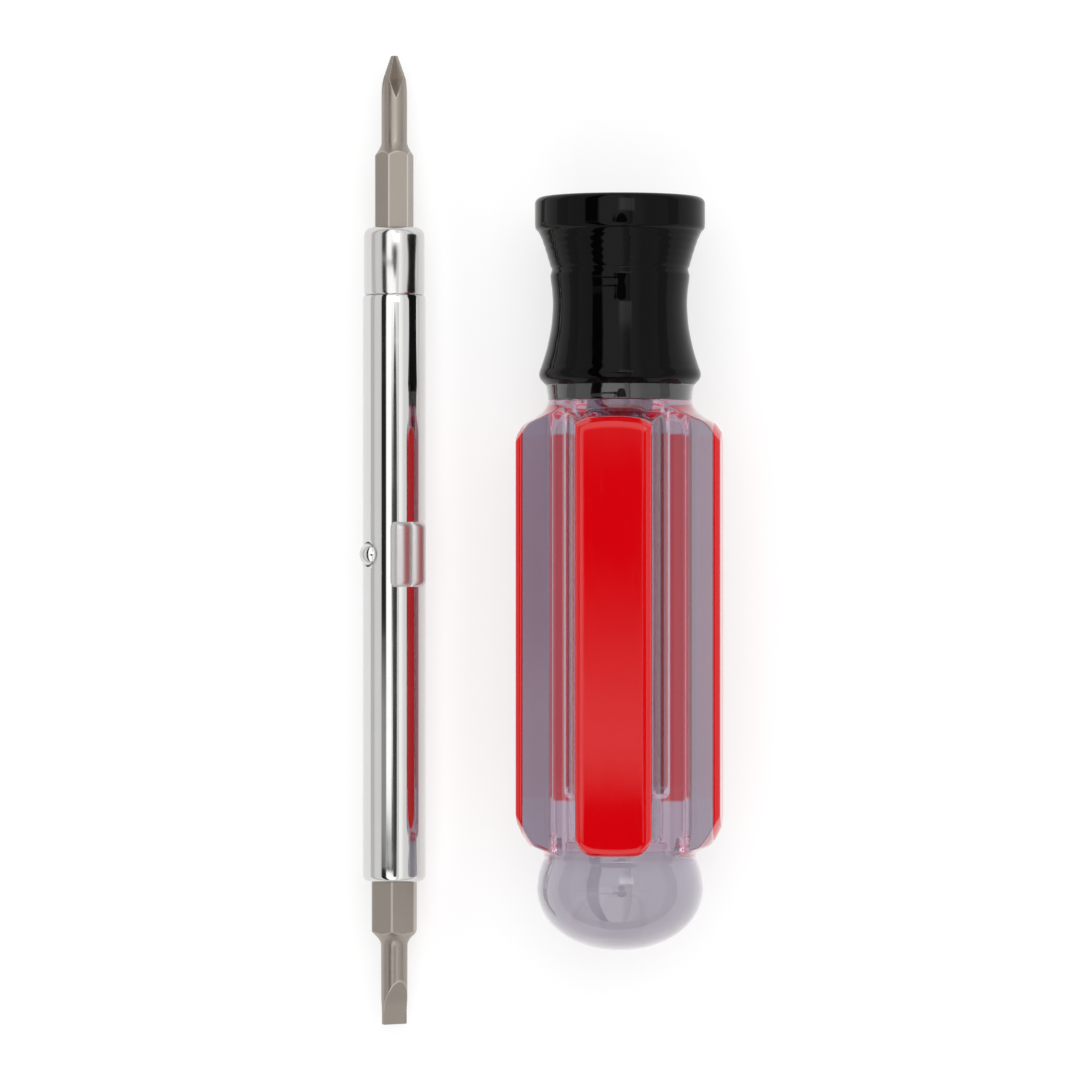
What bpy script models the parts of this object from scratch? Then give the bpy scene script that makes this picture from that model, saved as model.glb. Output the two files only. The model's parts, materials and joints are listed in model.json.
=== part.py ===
"""A multi-bit screwdriver, taken apart: a hollow clear handle and its reversible steel shaft.

Lengths are in metres. The handle and the shaft lie side by side on the plane z = 0, both along Y.
The mouth of the handle and the cross-point end of the shaft are towards +Y.

The handle is built along its own axis, with its mouth at z = 0 and its butt below.
The shaft is built along its own axis too, with the middle of its tube at z = 0.
Seen along either axis, -Y is up once the piece lies on the table.
"""

import math

import bmesh
import bpy
from mathutils import Matrix, Vector

MM = 0.001
HEX_CORNER = 2 / math.sqrt(3)  # half across the corners of a hexagon, for each half across its flats

# Clearances
PRESS_GAP = 0.15 * MM  # around what is pressed, bonded or staked into its neighbour
SEAT_GAP = 0.3 * MM  # under what stops against a face
BIT_GAP = 0.15 * MM  # each side of a bit in its hex pocket
SOCKET_GAP = 0.25 * MM  # around the shaft in the handle
KEY_GAP = 0.3 * MM  # around the drive key in the keyway
CLIP_GAP = 0.06 * MM  # between a sprung clip and the bit's corners
BALL_GAP = 0.1 * MM  # around the detent ball
BALL_LIP_GAP = 0.065 * MM  # between the ball and the staked lip that keeps it in

# Upper bit, quarter-inch hex
UPPER_FLATS = 6.35 * MM
UPPER_HEX_LENGTH = 25.0 * MM
UPPER_SEAT = 11.7 * MM  # length of hex inside the nose
UPPER_CROSS_LENGTH = 18.6 * MM
UPPER_CROSS_RADIUS = 2.38 * MM
UPPER_BLADE_LENGTH = 18.6 * MM
UPPER_BLADE_RADIUS = 2.38 * MM
UPPER_TURN = math.radians(-10.5)  # one corner of the hex, from straight up towards +X

# Lower bit, five-sixteenths hex
LOWER_FLATS = 7.94 * MM
LOWER_HEX_LENGTH = 24.2 * MM
LOWER_SEAT = 15.0 * MM  # length of hex inside the tube
LOWER_BLADE_LENGTH = 17.4 * MM
LOWER_BLADE_RADIUS = 2.46 * MM
LOWER_CROSS_LENGTH = 16.4 * MM
LOWER_CROSS_RADIUS = 3.0 * MM
LOWER_TURN = math.radians(0.5)

# Working ends of the bits
FLARE_LENGTH = 2.5 * MM  # hollow cone between hex and shank
CROSS_POINT_LENGTH = 4.4 * MM  # cone at the tip
CROSS_TIP_RADIUS = 0.7 * MM
CROSS_TIP_ROUND = 0.23 * MM
CROSS_WEB = 0.45 * MM  # half of the core left between the flutes, at the tip
CROSS_SHOULDER_WEB = 0.62 * MM  # the same at the foot of the cone
CROSS_FLUTE_LENGTH = 8.0 * MM
CROSS_FLUTE_HALF_ANGLE = math.radians(46)
CROSS_FLUTE_TURN = math.radians(26)  # which way a flute looks, from one corner of the hex
BLADE_THICKNESS = 0.75 * MM
BLADE_FLAT_LENGTH = 3.5 * MM  # of even thickness, at the tip
BLADE_GRIND_LENGTH = 4.7 * MM  # from there to where the ground face runs out
BLADE_TIP_NARROWING = 0.25 * MM  # how far the shank's radius falls towards the tip
BLADE_TURN = math.radians(32)  # which way a ground face looks, from one corner of the hex

# Spring clips that hold the bits
CLIP_WIRE = 0.6 * MM
CLIP_DEPTH = 6.0 * MM  # from the mouth of the pocket
CLIP_OPENING = math.radians(50)

# Shaft tube and its nose
SHAFT_LENGTH = 121.4 * MM  # tube and nose together
TUBE_WALL = 0.456 * MM  # left outside the lower clip's groove
TUBE_BORE_RELIEF = 0.33 * MM  # plain bore past the flats of the lower hex
TUBE_EDGE = 1.2 * MM  # rounding of the tube's lower rim
TUBE_STEP_CHAMFER = 0.35 * MM  # bright ring where the tube meets the nose
NOSE_LENGTH = 12.6 * MM
NOSE_STEP = 0.2 * MM  # nose below the tube's surface
NOSE_EDGE = 1.6 * MM
NOSE_SPIGOT_LENGTH = 10.0 * MM
NOSE_STOP_RELIEF = 0.175 * MM  # round bore behind the upper hex pocket, past its flats

# Detent and drive key at the middle of the shaft
KEY_TURN = math.radians(36)  # from straight up towards +X
BALL_TURN = KEY_TURN - math.radians(90)
KEY_LENGTH = 12.0 * MM
KEY_WIDTH = 7.0 * MM
KEY_WEB = 0.2 * MM  # saddle's thickness in the groove between its ridges
KEY_RIDGE_HEIGHT = 0.65 * MM  # ridge above that groove
KEY_RIDGE_OFFSET = 1.6 * MM  # ridge line from the middle of the key
KEY_EDGE_HEIGHT = 0.55 * MM  # how thick the saddle is at its long edges
KEY_END_ROUND = 1.3 * MM
KEY_END_FALL = 0.55  # share of its height that the saddle loses at its very end
KEY_STEM_WIDTH = 3.0 * MM
KEY_STEM_LENGTH = 8.0 * MM
KEY_STEM_WALL = 0.55 * MM  # left between the stem's slot and the spring's well
BALL_RADIUS = 2.2 * MM
BALL_PROUD = 1.25 * MM
BALL_LIP_HEIGHT = 0.1 * MM
BALL_LIP_SINK = 0.15 * MM  # top of the staked lip below the tube's surface
BALL_DISH = 0.4 * MM  # width of the dished rim around the ball
PLUG_LENGTH = 17.0 * MM
PLUG_CHAMFER = 0.45 * MM
PLUG_FLOOR = 1.45 * MM  # left under the spring's well
SPRING_WIRE = 0.5 * MM
SPRING_INSET = 0.55 * MM  # middle of the wire inside the ball's radius
SPRING_CURLS = 5

# Handle socket
KEY_SEAT = 15.0 * MM  # middle of the key, below the mouth, when the shaft is home
TIP_ROOM = 2.0 * MM  # past the longest bit when the shaft is home
SOCKET_END_ROUND = 2.5 * MM
POCKET_ARC = 60  # degrees of the ball's pocket each side of its middle
SPIGOT_WALL = 2.6 * MM  # clear plastic around the keyway, inside the collar

# Collar, turned outline from its mouth down, each height above its waist
COLLAR_END_WALL = 3.0 * MM
WAIST_WALL = 2.38 * MM  # around the clear spigot, at the waist
FLANGE_PROUD = 3.27 * MM
FLANGE_HEIGHT = 5.9 * MM
FLANGE_EDGE = 1.2 * MM
FLANGE_UNDER_EDGE = 0.6 * MM
FLANGE_UNDER_ARC = 75  # degrees
FLANGE_OVERHANG = 0.85 * MM
TAPER_LENGTH = 6.8 * MM
GROOVE_LIP = 0.2 * MM  # end of the taper above the groove
BEAD_HEIGHT = 1.6 * MM
BEAD_PROUD = 0.44 * MM
BEAD_GROOVE_SINK = 0.27 * MM  # below the bead
WAIST_LENGTH = 5.1 * MM  # from the bead to the waist
BULGE_LENGTH = 12.9 * MM  # from the waist to the bulge
BULGE_PROUD = 2.52 * MM
BULGE_ROUND = 0.9 * MM
NECK_LENGTH = 4.6 * MM  # from the bulge to the lower end
NECK_PROUD = 0.92 * MM

# Grip, section
CORE_PROUD = 1.2 * MM  # round core past the neck
FLUTE_ANGLE = math.radians(20.6)  # of the core that shows between two lobes
LOBE_HEIGHT = 4.23 * MM  # above the core
LOBE_TOP_HALF = 7.15 * MM
CAP_THICKNESS = 1.3 * MM
CAP_EDGE = 1.1 * MM

# Grip, turned outline
SHOULDER_LENGTH = 7.5 * MM
SHOULDER_SWEEP = ((0.02, 0.1), (0.33, 0.4), (0.74, 0.7))  # shares of its rise and of its length
LOBE_CORNER_ROOM = 0.345 * MM  # shoulder's outline past the corners of the lobes
LOBE_PAST_SOCKET = 3.8 * MM  # straight lobes past the bottom of the socket
HEEL_LENGTH = 6.4 * MM
HEEL_SWEEP = (0.55, 0.72)  # share of its fall, reached at a share of its length
BUTT_NECK_SINK = 0.45 * MM  # below the round core
BUTT_NECK_HEIGHT = 1.1 * MM
BUTT_PROUD = 1.25 * MM  # widest ring past the neck
BUTT_SWELL = 5.0 * MM  # from the neck to the widest ring
BUTT_CROWN = 11.5 * MM  # from the widest ring to the end
BUTT_FULLNESS = 2.1  # exponent of the crown's outline, 2 being an ellipse

# Layout on the table
LAYOUT_GAP = 18.42 * MM  # between the tube and the nearest lobe
MOUTH_PAST_SHAFT_MIDDLE = 65.2 * MM

# Fineness of the solids
TURN_STEPS = 40
SMALL_TURN_STEPS = 28
BALL_STEPS = 20
ARC_STEPS = 4
FLARE_STEPS = 4
CROWN_STEPS = 8
KEY_STEPS = 8
CLIP_STEPS = 32
STEPS_PER_CURL = 10
SHARP_ANGLE = math.radians(35)  # an edge that turns more than this is not shaded smooth
OVERCUT = 1.0 * MM  # how far a cutter runs past what it cuts

# Shaft sizes that follow from the ones above
UPPER_CORNER = UPPER_FLATS / 2 * HEX_CORNER
LOWER_CORNER = LOWER_FLATS / 2 * HEX_CORNER
CLIP_GROOVE = CLIP_GAP + CLIP_WIRE + PRESS_GAP  # groove past the bit's corners
TUBE_RADIUS = LOWER_CORNER + CLIP_GROOVE + TUBE_WALL
TUBE_BORE_RADIUS = LOWER_FLATS / 2 + TUBE_BORE_RELIEF
SHAFT_HALF = SHAFT_LENGTH / 2
TUBE_TOP = SHAFT_HALF - NOSE_LENGTH
NOSE_RADIUS = TUBE_RADIUS - NOSE_STEP
NOSE_STOP_RADIUS = UPPER_FLATS / 2 + NOSE_STOP_RELIEF
NOSE_SPIGOT_RADIUS = TUBE_BORE_RADIUS - PRESS_GAP
PLUG_RADIUS = TUBE_BORE_RADIUS - PRESS_GAP
WELL_RADIUS = BALL_RADIUS + BALL_GAP
WELL_DEPTH = PLUG_RADIUS - PLUG_FLOOR  # past the shaft's axis
SPRING_RADIUS = BALL_RADIUS - SPRING_INSET
BALL_CENTRE = TUBE_RADIUS + BALL_PROUD - BALL_RADIUS
KEY_FOOT = TUBE_RADIUS + PRESS_GAP
KEY_FLOOR = KEY_FOOT + KEY_WEB
KEY_CREST = KEY_FLOOR + KEY_RIDGE_HEIGHT
KEY_SLOT_FLOOR = WELL_RADIUS + KEY_STEM_WALL
UPPER_EXPOSED = UPPER_HEX_LENGTH - UPPER_SEAT + UPPER_CROSS_LENGTH
LOWER_EXPOSED = LOWER_HEX_LENGTH - LOWER_SEAT + LOWER_BLADE_LENGTH

# Handle sizes that follow, as radii and as depths below the mouth
SOCKET_RADIUS = TUBE_RADIUS + SOCKET_GAP
SOCKET_DEPTH = KEY_SEAT + SHAFT_HALF + max(UPPER_EXPOSED, LOWER_EXPOSED) + TIP_ROOM
KEYWAY_REACH = KEY_CREST + KEY_GAP
KEYWAY_HALF_WIDTH = KEY_WIDTH / 2 + KEY_GAP
KEYWAY_DEPTH = KEY_SEAT + KEY_LENGTH / 2 + SEAT_GAP
SPIGOT_RADIUS = KEYWAY_REACH + SPIGOT_WALL
WAIST_RADIUS = SPIGOT_RADIUS + PRESS_GAP + WAIST_WALL
FLANGE_RADIUS = WAIST_RADIUS + FLANGE_PROUD
TAPER_TOP_RADIUS = FLANGE_RADIUS - FLANGE_OVERHANG
BEAD_RADIUS = WAIST_RADIUS + BEAD_PROUD
BEAD_GROOVE_RADIUS = BEAD_RADIUS - BEAD_GROOVE_SINK
BULGE_RADIUS = WAIST_RADIUS + BULGE_PROUD
NECK_RADIUS = WAIST_RADIUS + NECK_PROUD
CORE_RADIUS = NECK_RADIUS + CORE_PROUD
GRIP_REACH = CORE_RADIUS + LOBE_HEIGHT  # axis to the flat of a lobe
CAP_SEAT = GRIP_REACH - CAP_THICKNESS
SHOULDER_RADIUS = math.hypot(GRIP_REACH, LOBE_TOP_HALF) + LOBE_CORNER_ROOM
BUTT_NECK_RADIUS = CORE_RADIUS - BUTT_NECK_SINK
BUTT_RADIUS = BUTT_NECK_RADIUS + BUTT_PROUD
TAPER_END = FLANGE_HEIGHT + TAPER_LENGTH
BEAD_DEPTH = TAPER_END + BEAD_HEIGHT
WAIST_DEPTH = BEAD_DEPTH + WAIST_LENGTH
BULGE_DEPTH = WAIST_DEPTH + BULGE_LENGTH
COLLAR_LENGTH = BULGE_DEPTH + NECK_LENGTH
GRIP_TOP = COLLAR_LENGTH + SEAT_GAP
LOBE_END = SOCKET_DEPTH + LOBE_PAST_SOCKET
BUTT_NECK_TOP = LOBE_END + HEEL_LENGTH
BUTT_WIDEST = BUTT_NECK_TOP + BUTT_NECK_HEIGHT + BUTT_SWELL

# Places on the table
LEFT_REACH = max(TUBE_RADIUS, BALL_RADIUS - BALL_CENTRE * math.sin(BALL_TURN))
AXIS_SPACING = TUBE_RADIUS + LAYOUT_GAP + GRIP_REACH
SHAFT_X = (LEFT_REACH - AXIS_SPACING - GRIP_REACH) / 2
HANDLE_X = SHAFT_X + AXIS_SPACING
SHAFT_Y = (LOWER_EXPOSED - UPPER_EXPOSED) / 2
MOUTH_Y = SHAFT_Y + MOUTH_PAST_SHAFT_MIDDLE


def clear_scene():
    """Remove whatever the file opened with."""
    for thing in list(bpy.data.objects):
        bpy.data.objects.remove(thing, do_unlink=True)


def finish(name, colour, roughness, metallic=0.0, alpha=1.0):
    """One plain material: a base colour, how rough and how metallic it is."""
    material = bpy.data.materials.new(name)
    material.use_nodes = True
    surface = material.node_tree.nodes["Principled BSDF"]
    surface.inputs["Base Color"].default_value = (*colour, 1.0)
    surface.inputs["Roughness"].default_value = roughness
    surface.inputs["Metallic"].default_value = metallic
    surface.inputs["Alpha"].default_value = alpha
    return material


def empty(name, location=(0, 0, 0), rotation=(0, 0, 0), parent=None):
    """An axis that pieces hang on."""
    axis = bpy.data.objects.new(name, None)
    axis.location = location
    axis.rotation_euler = rotation
    axis.parent = parent
    bpy.context.collection.objects.link(axis)
    return axis


def placed(name, data, parent, material=None):
    """Put a mesh or a curve into the scene. Without a material it is a cutter."""
    thing = bpy.data.objects.new(name, data)
    thing.parent = parent
    bpy.context.collection.objects.link(thing)
    if material:
        data.materials.append(material)
    else:
        thing.hide_render = True
        thing.display_type = "WIRE"
    return thing


def mesh_from(shape, name):
    """Close the books on a bmesh: faces outwards, round faces smooth."""
    bmesh.ops.recalc_face_normals(shape, faces=shape.faces)
    mesh = bpy.data.meshes.new(name)
    shape.to_mesh(mesh)
    shape.free()
    mesh.shade_smooth()
    mesh.set_sharp_from_angle(angle=SHARP_ANGLE)
    return mesh


def turned(name, outline, parent, material=None, steps=TURN_STEPS):
    """Spin an outline of (radius, height) points about Z. A ring's outline closes on itself."""
    shape = bmesh.new()
    points = [shape.verts.new((radius, 0, height)) for radius, height in outline]
    on_axis = outline[0][0] == 0 and outline[-1][0] == 0
    pairs = list(zip(points, points[1:]))
    if not on_axis:
        pairs.append((points[-1], points[0]))
    edges = [shape.edges.new(pair) for pair in pairs]
    bmesh.ops.spin(
        shape,
        geom=points + edges,
        cent=(0, 0, 0),
        axis=(0, 0, 1),
        angle=2 * math.pi,
        steps=steps,
        use_merge=True,
    )
    bmesh.ops.remove_doubles(shape, verts=shape.verts, dist=MM / 1000)
    return placed(name, mesh_from(shape, name), parent, material)


def lofted(name, rings, parent, material=None):
    """Skin closed rings of equal count, one after another, and cap both ends."""
    shape = bmesh.new()
    loops = [[shape.verts.new(point) for point in ring] for ring in rings]
    for lower, upper in zip(loops, loops[1:]):
        count = len(lower)
        for i in range(count):
            j = (i + 1) % count
            shape.faces.new((lower[i], lower[j], upper[j], upper[i]))
    shape.faces.new(reversed(loops[0]))
    shape.faces.new(loops[-1])
    return placed(name, mesh_from(shape, name), parent, material)


def prism(name, outline, bottom, top, parent, material=None):
    """Extrude a closed (x, y) outline along Z."""
    rings = [[(x, y, height) for x, y in outline] for height in (bottom, top)]
    return lofted(name, rings, parent, material)


def block(name, low, high, parent):
    """A rectangular cutter between two corners."""
    outline = [(low[0], low[1]), (high[0], low[1]), (high[0], high[1]), (low[0], high[1])]
    return prism(name, outline, low[2], high[2], parent)


def combine(target, other, operation):
    """Cut, join or intersect one solid with another."""
    modifier = target.modifiers.new(f"{operation.lower()} {other.name}", "BOOLEAN")
    modifier.operation = operation
    modifier.solver = "EXACT"
    modifier.object = other


def wire(name, points, diameter, parent, material):
    """A round wire along a row of points, with flat ends."""
    curve = bpy.data.curves.new(name, "CURVE")
    curve.dimensions = "3D"
    curve.bevel_depth = diameter / 2
    curve.bevel_resolution = 1
    curve.use_fill_caps = True
    spline = curve.splines.new("POLY")
    spline.points.add(len(points) - 1)
    for knot, point in zip(spline.points, points):
        knot.co = (*point, 1.0)
    return placed(name, curve, parent, material)


def arc(centre, radius, start, end, steps=ARC_STEPS):
    """Points on a circle, angles in degrees, both ends included."""
    angles = [math.radians(start + (end - start) * i / steps) for i in range(steps + 1)]
    return [(centre[0] + radius * math.cos(a), centre[1] + radius * math.sin(a)) for a in angles]


def flowing(stations, steps=3):
    """A smooth line through (radius, height) stations, with no overshoot between them."""
    slopes = []
    for i, (radius, height) in enumerate(stations):
        before = stations[max(i - 1, 0)]
        after = stations[min(i + 1, len(stations) - 1)]
        turns_back = (after[0] - radius) * (radius - before[0]) <= 0
        slopes.append(0 if turns_back else (after[0] - before[0]) / (after[1] - before[1]))
    line = []
    for i in range(len(stations) - 1):
        (r0, h0), (r1, h1) = stations[i], stations[i + 1]
        span = h1 - h0
        for k in range(steps):
            t = k / steps
            start = (1 + 2 * t) * (1 - t) ** 2 * r0 + t * (1 - t) ** 2 * span * slopes[i]
            end = t * t * (3 - 2 * t) * r1 + t * t * (t - 1) * span * slopes[i + 1]
            line.append((start + end, h0 + t * span))
    line.append(stations[-1])
    return line


def hexagon(flats, turn=0.0):
    """A regular hexagon with one corner turned from straight up (-Y) towards +X."""
    corner = flats / 2 * HEX_CORNER
    angles = [turn + math.radians(60 * i) for i in range(6)]
    return [(corner * math.sin(a), -corner * math.cos(a)) for a in angles]


def about(turn):
    """Rotation that takes +X of a piece to a direction turned from straight up towards +X."""
    return turn - math.radians(90)


def least_gap(points, diameter, apart):
    """Smallest clear distance between a wire's points that lie at least some points apart."""
    places = [Vector(point) for point in points]
    found = min(
        (places[i] - places[j]).length for i in range(len(places)) for j in range(i + apart, len(places))
    )
    return found - diameter


def collar_outline():
    """Outer side of the collar, from the rim of its mouth down to its lower end."""
    top = arc((FLANGE_RADIUS - FLANGE_EDGE, -FLANGE_EDGE), FLANGE_EDGE, 90, 0)
    under_centre = (FLANGE_RADIUS - FLANGE_UNDER_EDGE, FLANGE_UNDER_EDGE - FLANGE_HEIGHT)
    under = arc(under_centre, FLANGE_UNDER_EDGE, 0, -FLANGE_UNDER_ARC)
    taper_top = (TAPER_TOP_RADIUS, -FLANGE_HEIGHT - FLANGE_UNDER_EDGE)
    taper_end = (BEAD_GROOVE_RADIUS + GROOVE_LIP, -TAPER_END)
    waist = flowing(
        [
            (BEAD_GROOVE_RADIUS, -TAPER_END - BEAD_HEIGHT / 3),
            (BEAD_RADIUS, -BEAD_DEPTH),
            (WAIST_RADIUS, -WAIST_DEPTH),
            ((WAIST_RADIUS + BULGE_RADIUS) / 2, -(WAIST_DEPTH + 2 * BULGE_DEPTH) / 3),
            (BULGE_RADIUS, -BULGE_DEPTH),
        ]
    )
    neck_top = (COLLAR_LENGTH + BULGE_DEPTH) / 2
    lip = flowing([(BULGE_RADIUS - BULGE_ROUND / 3, -BULGE_DEPTH - BULGE_ROUND), (NECK_RADIUS, -neck_top)])
    return top + under + [taper_top, taper_end] + waist + lip + [(NECK_RADIUS, -COLLAR_LENGTH)]


def make_collar(parent, material):
    """Black sleeve over the clear neck. Its end wall carries the mouth of the socket."""
    inside = SPIGOT_RADIUS + PRESS_GAP
    inner = [
        (inside, -COLLAR_LENGTH),
        (inside, -COLLAR_END_WALL),
        (SOCKET_RADIUS, -COLLAR_END_WALL),
        (SOCKET_RADIUS, 0),
    ]
    collar = turned("collar", collar_outline() + inner, parent, material)
    combine(collar, keyway_cutter("collar_keyway_cutter", parent), "DIFFERENCE")
    return collar


def grip_outline():
    """Outer side of the grip and the butt, from the seam under the collar down to the axis."""
    rise = SHOULDER_RADIUS - NECK_RADIUS
    stations = [(NECK_RADIUS, -GRIP_TOP)]
    for share, along in SHOULDER_SWEEP:
        stations.append((NECK_RADIUS + share * rise, -GRIP_TOP - along * SHOULDER_LENGTH))
    shoulder = flowing(stations + [(SHOULDER_RADIUS, -GRIP_TOP - SHOULDER_LENGTH)], 2)
    share, along = HEEL_SWEEP
    knee = (
        SHOULDER_RADIUS - share * (SHOULDER_RADIUS - BUTT_NECK_RADIUS),
        -LOBE_END - along * HEEL_LENGTH,
    )
    heel = flowing([(SHOULDER_RADIUS, -LOBE_END), knee, (BUTT_NECK_RADIUS, -BUTT_NECK_TOP)])
    neck_end = (BUTT_NECK_RADIUS, -BUTT_NECK_TOP - BUTT_NECK_HEIGHT)
    swell = flowing([neck_end, (BUTT_RADIUS, -BUTT_WIDEST)])
    crown = []
    for i in range(1, CROWN_STEPS + 1):
        drop = math.sin(math.pi / 2 * i / CROWN_STEPS)
        radius = BUTT_RADIUS * max(1 - drop**BUTT_FULLNESS, 0) ** (1 / BUTT_FULLNESS)
        crown.append((radius, -BUTT_WIDEST - drop * BUTT_CROWN))
    crown[-1] = (0, -BUTT_WIDEST - BUTT_CROWN)
    return shoulder + heel + swell + crown


def lobe_half_under_cap():
    """Half the width of a lobe where its cap sits. The lobe widens from its top to the core."""
    root_half = CORE_RADIUS * math.sin((math.pi / 2 - FLUTE_ANGLE) / 2)
    return LOBE_TOP_HALF + (root_half - LOBE_TOP_HALF) * CAP_THICKNESS / LOBE_HEIGHT


def grip_section():
    """Section of the clear grip under the caps: a round core with four flat-topped lobes."""
    top = CAP_SEAT - PRESS_GAP
    half = lobe_half_under_cap()
    between = math.degrees(FLUTE_ANGLE) / 2
    quarter = [(top, -half), (top, half)]
    quarter += arc((0, 0), CORE_RADIUS, 45 - between, 45 + between)
    outline = []
    for i in range(4):
        turn = Matrix.Rotation(math.radians(90 * i), 2)
        outline += [tuple(turn @ Vector(point)) for point in quarter]
    return outline


def make_handle_body(parent, material):
    """Clear plastic: a spigot for the collar, the fluted grip and the butt, bored for the shaft."""
    spigot_top = -COLLAR_END_WALL - SEAT_GAP
    spigot = [(0, spigot_top), (SPIGOT_RADIUS, spigot_top), (SPIGOT_RADIUS, -GRIP_TOP)]
    body = turned("handle_body", spigot + grip_outline(), parent, material)
    around = 2 * SHOULDER_RADIUS
    flutes = turned(
        "flute_cutter",
        [(0, -GRIP_TOP), (around, -GRIP_TOP), (around, -BUTT_NECK_TOP), (0, -BUTT_NECK_TOP)],
        parent,
    )
    section = prism(
        "grip_section_cutter",
        grip_section(),
        -BUTT_NECK_TOP - OVERCUT,
        -GRIP_TOP + OVERCUT,
        parent,
    )
    combine(flutes, section, "DIFFERENCE")
    combine(body, flutes, "DIFFERENCE")
    end_corner = (SOCKET_RADIUS - SOCKET_END_ROUND, SOCKET_END_ROUND - SOCKET_DEPTH)
    end = arc(end_corner, SOCKET_END_ROUND, 0, -90)
    bore = [(0, OVERCUT), (SOCKET_RADIUS, OVERCUT)] + end + [(0, -SOCKET_DEPTH)]
    combine(body, turned("socket_cutter", bore, parent), "DIFFERENCE")
    combine(body, keyway_cutter("body_keyway_cutter", parent), "DIFFERENCE")
    for side in (-1, 1):
        combine(body, detent_pocket_cutter(side, parent), "DIFFERENCE")
    return body


def keyway_cutter(name, parent):
    """Slot on the upper side of the socket that takes the drive key."""
    low = (-KEYWAY_HALF_WIDTH, -KEYWAY_REACH, -KEYWAY_DEPTH)
    high = (KEYWAY_HALF_WIDTH, 0, OVERCUT)
    return block(name, low, high, parent)


def detent_pocket_cutter(side, parent):
    """Hollow in the socket's side that the detent ball drops into when the shaft is home."""
    radius = BALL_RADIUS + KEY_GAP
    outline = [(0, radius)] + arc((0, 0), radius, POCKET_ARC, -POCKET_ARC) + [(0, -radius)]
    name = "left_pocket_cutter" if side < 0 else "right_pocket_cutter"
    pocket = turned(name, outline, parent, steps=SMALL_TURN_STEPS)
    pocket.location = (side * BALL_CENTRE, 0, -KEY_SEAT)
    return pocket


def make_cap(name, turn, parent, material):
    """Red cap on one lobe: a slab with rounded long edges, its ends cut by the turned outline."""
    half_below = lobe_half_under_cap()
    corner = LOBE_TOP_HALF - CAP_EDGE
    rounded = arc((GRIP_REACH - CAP_EDGE, corner), CAP_EDGE, 90, 0)
    mirrored = [(x, -y) for x, y in reversed(rounded)]
    outline = [(CAP_SEAT, half_below)] + rounded + mirrored + [(CAP_SEAT, -half_below)]
    axis = empty(f"{name}_axis", rotation=(0, 0, about(turn)), parent=parent)
    cap = prism(name, outline, -BUTT_NECK_TOP, -GRIP_TOP, axis, material)
    around = turned(f"{name}_end_cutter", [(0, -GRIP_TOP)] + grip_outline(), axis)
    combine(cap, around, "INTERSECT")
    return cap


def ball_hole_cutter(ball_axis):
    """Hole for the ball, out from the shaft's axis: straight wall, staked lip, dished rim."""
    lip_top = TUBE_RADIUS - BALL_LIP_SINK
    lip_foot = lip_top - BALL_LIP_HEIGHT
    lip = math.sqrt(BALL_RADIUS**2 - (lip_foot - BALL_CENTRE) ** 2) + BALL_LIP_GAP
    rim = WELL_RADIUS + BALL_DISH
    above = TUBE_RADIUS + OVERCUT
    outline = [(0, 0), (WELL_RADIUS, 0), (WELL_RADIUS, lip_foot - PRESS_GAP), (lip, lip_foot), (lip, lip_top)]
    outline += [(rim, TUBE_RADIUS), (rim, above), (0, above)]
    return turned("ball_hole_cutter", outline, ball_axis)


def make_tube(parent, key_axis, ball_axis, material):
    """Steel tube: hex pocket at its lower end, plain bore above, slot and hole at its middle."""
    top = TUBE_TOP
    rim = arc((TUBE_RADIUS - TUBE_EDGE, -SHAFT_HALF + TUBE_EDGE), TUBE_EDGE, 0, -90)
    outside = [(TUBE_RADIUS - TUBE_STEP_CHAMFER, top), (TUBE_RADIUS, top - TUBE_STEP_CHAMFER)] + rim
    inside = [(TUBE_BORE_RADIUS, -SHAFT_HALF), (TUBE_BORE_RADIUS, top)]
    tube = turned("shaft_tube", outside + inside, parent, material)
    pocket_top = -SHAFT_HALF + LOWER_SEAT + SEAT_GAP
    pocket = prism(
        "lower_hex_cutter",
        hexagon(LOWER_FLATS + 2 * BIT_GAP, LOWER_TURN),
        -SHAFT_HALF - OVERCUT,
        pocket_top,
        parent,
    )
    combine(tube, pocket, "DIFFERENCE")
    groove = clip_groove_cutter("lower_clip_cutter", LOWER_CORNER, CLIP_DEPTH - SHAFT_HALF, parent)
    combine(tube, groove, "DIFFERENCE")
    combine(tube, stem_cutter("tube_slot_cutter", key_axis), "DIFFERENCE")
    combine(tube, ball_hole_cutter(ball_axis), "DIFFERENCE")
    return tube


def make_nose(parent, material):
    """Hex bush pressed into the tube's upper end, with a rounded nose."""
    end = arc((NOSE_RADIUS - NOSE_EDGE, SHAFT_HALF - NOSE_EDGE), NOSE_EDGE, 90, 0)
    seat = TUBE_TOP + PRESS_GAP
    spigot_end = TUBE_TOP - NOSE_SPIGOT_LENGTH
    outside = end + [(NOSE_RADIUS, seat), (NOSE_SPIGOT_RADIUS, seat), (NOSE_SPIGOT_RADIUS, spigot_end)]
    inside = [(NOSE_STOP_RADIUS, spigot_end), (NOSE_STOP_RADIUS, SHAFT_HALF)]
    nose = turned("nose_bush", outside + inside, parent, material)
    pocket = prism(
        "upper_hex_cutter",
        hexagon(UPPER_FLATS + 2 * BIT_GAP, UPPER_TURN),
        SHAFT_HALF - UPPER_SEAT - SEAT_GAP,
        SHAFT_HALF + OVERCUT,
        parent,
    )
    combine(nose, pocket, "DIFFERENCE")
    groove = clip_groove_cutter("upper_clip_cutter", UPPER_CORNER, SHAFT_HALF - CLIP_DEPTH, parent)
    combine(nose, groove, "DIFFERENCE")
    return nose


def clip_groove_cutter(name, corner, height, parent):
    """Ring groove inside a hex pocket."""
    reach = corner + CLIP_GROOVE
    half = CLIP_WIRE / 2 + PRESS_GAP
    outline = [(0, height + half), (reach, height + half), (reach, height - half), (0, height - half)]
    return turned(name, outline, parent)


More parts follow.
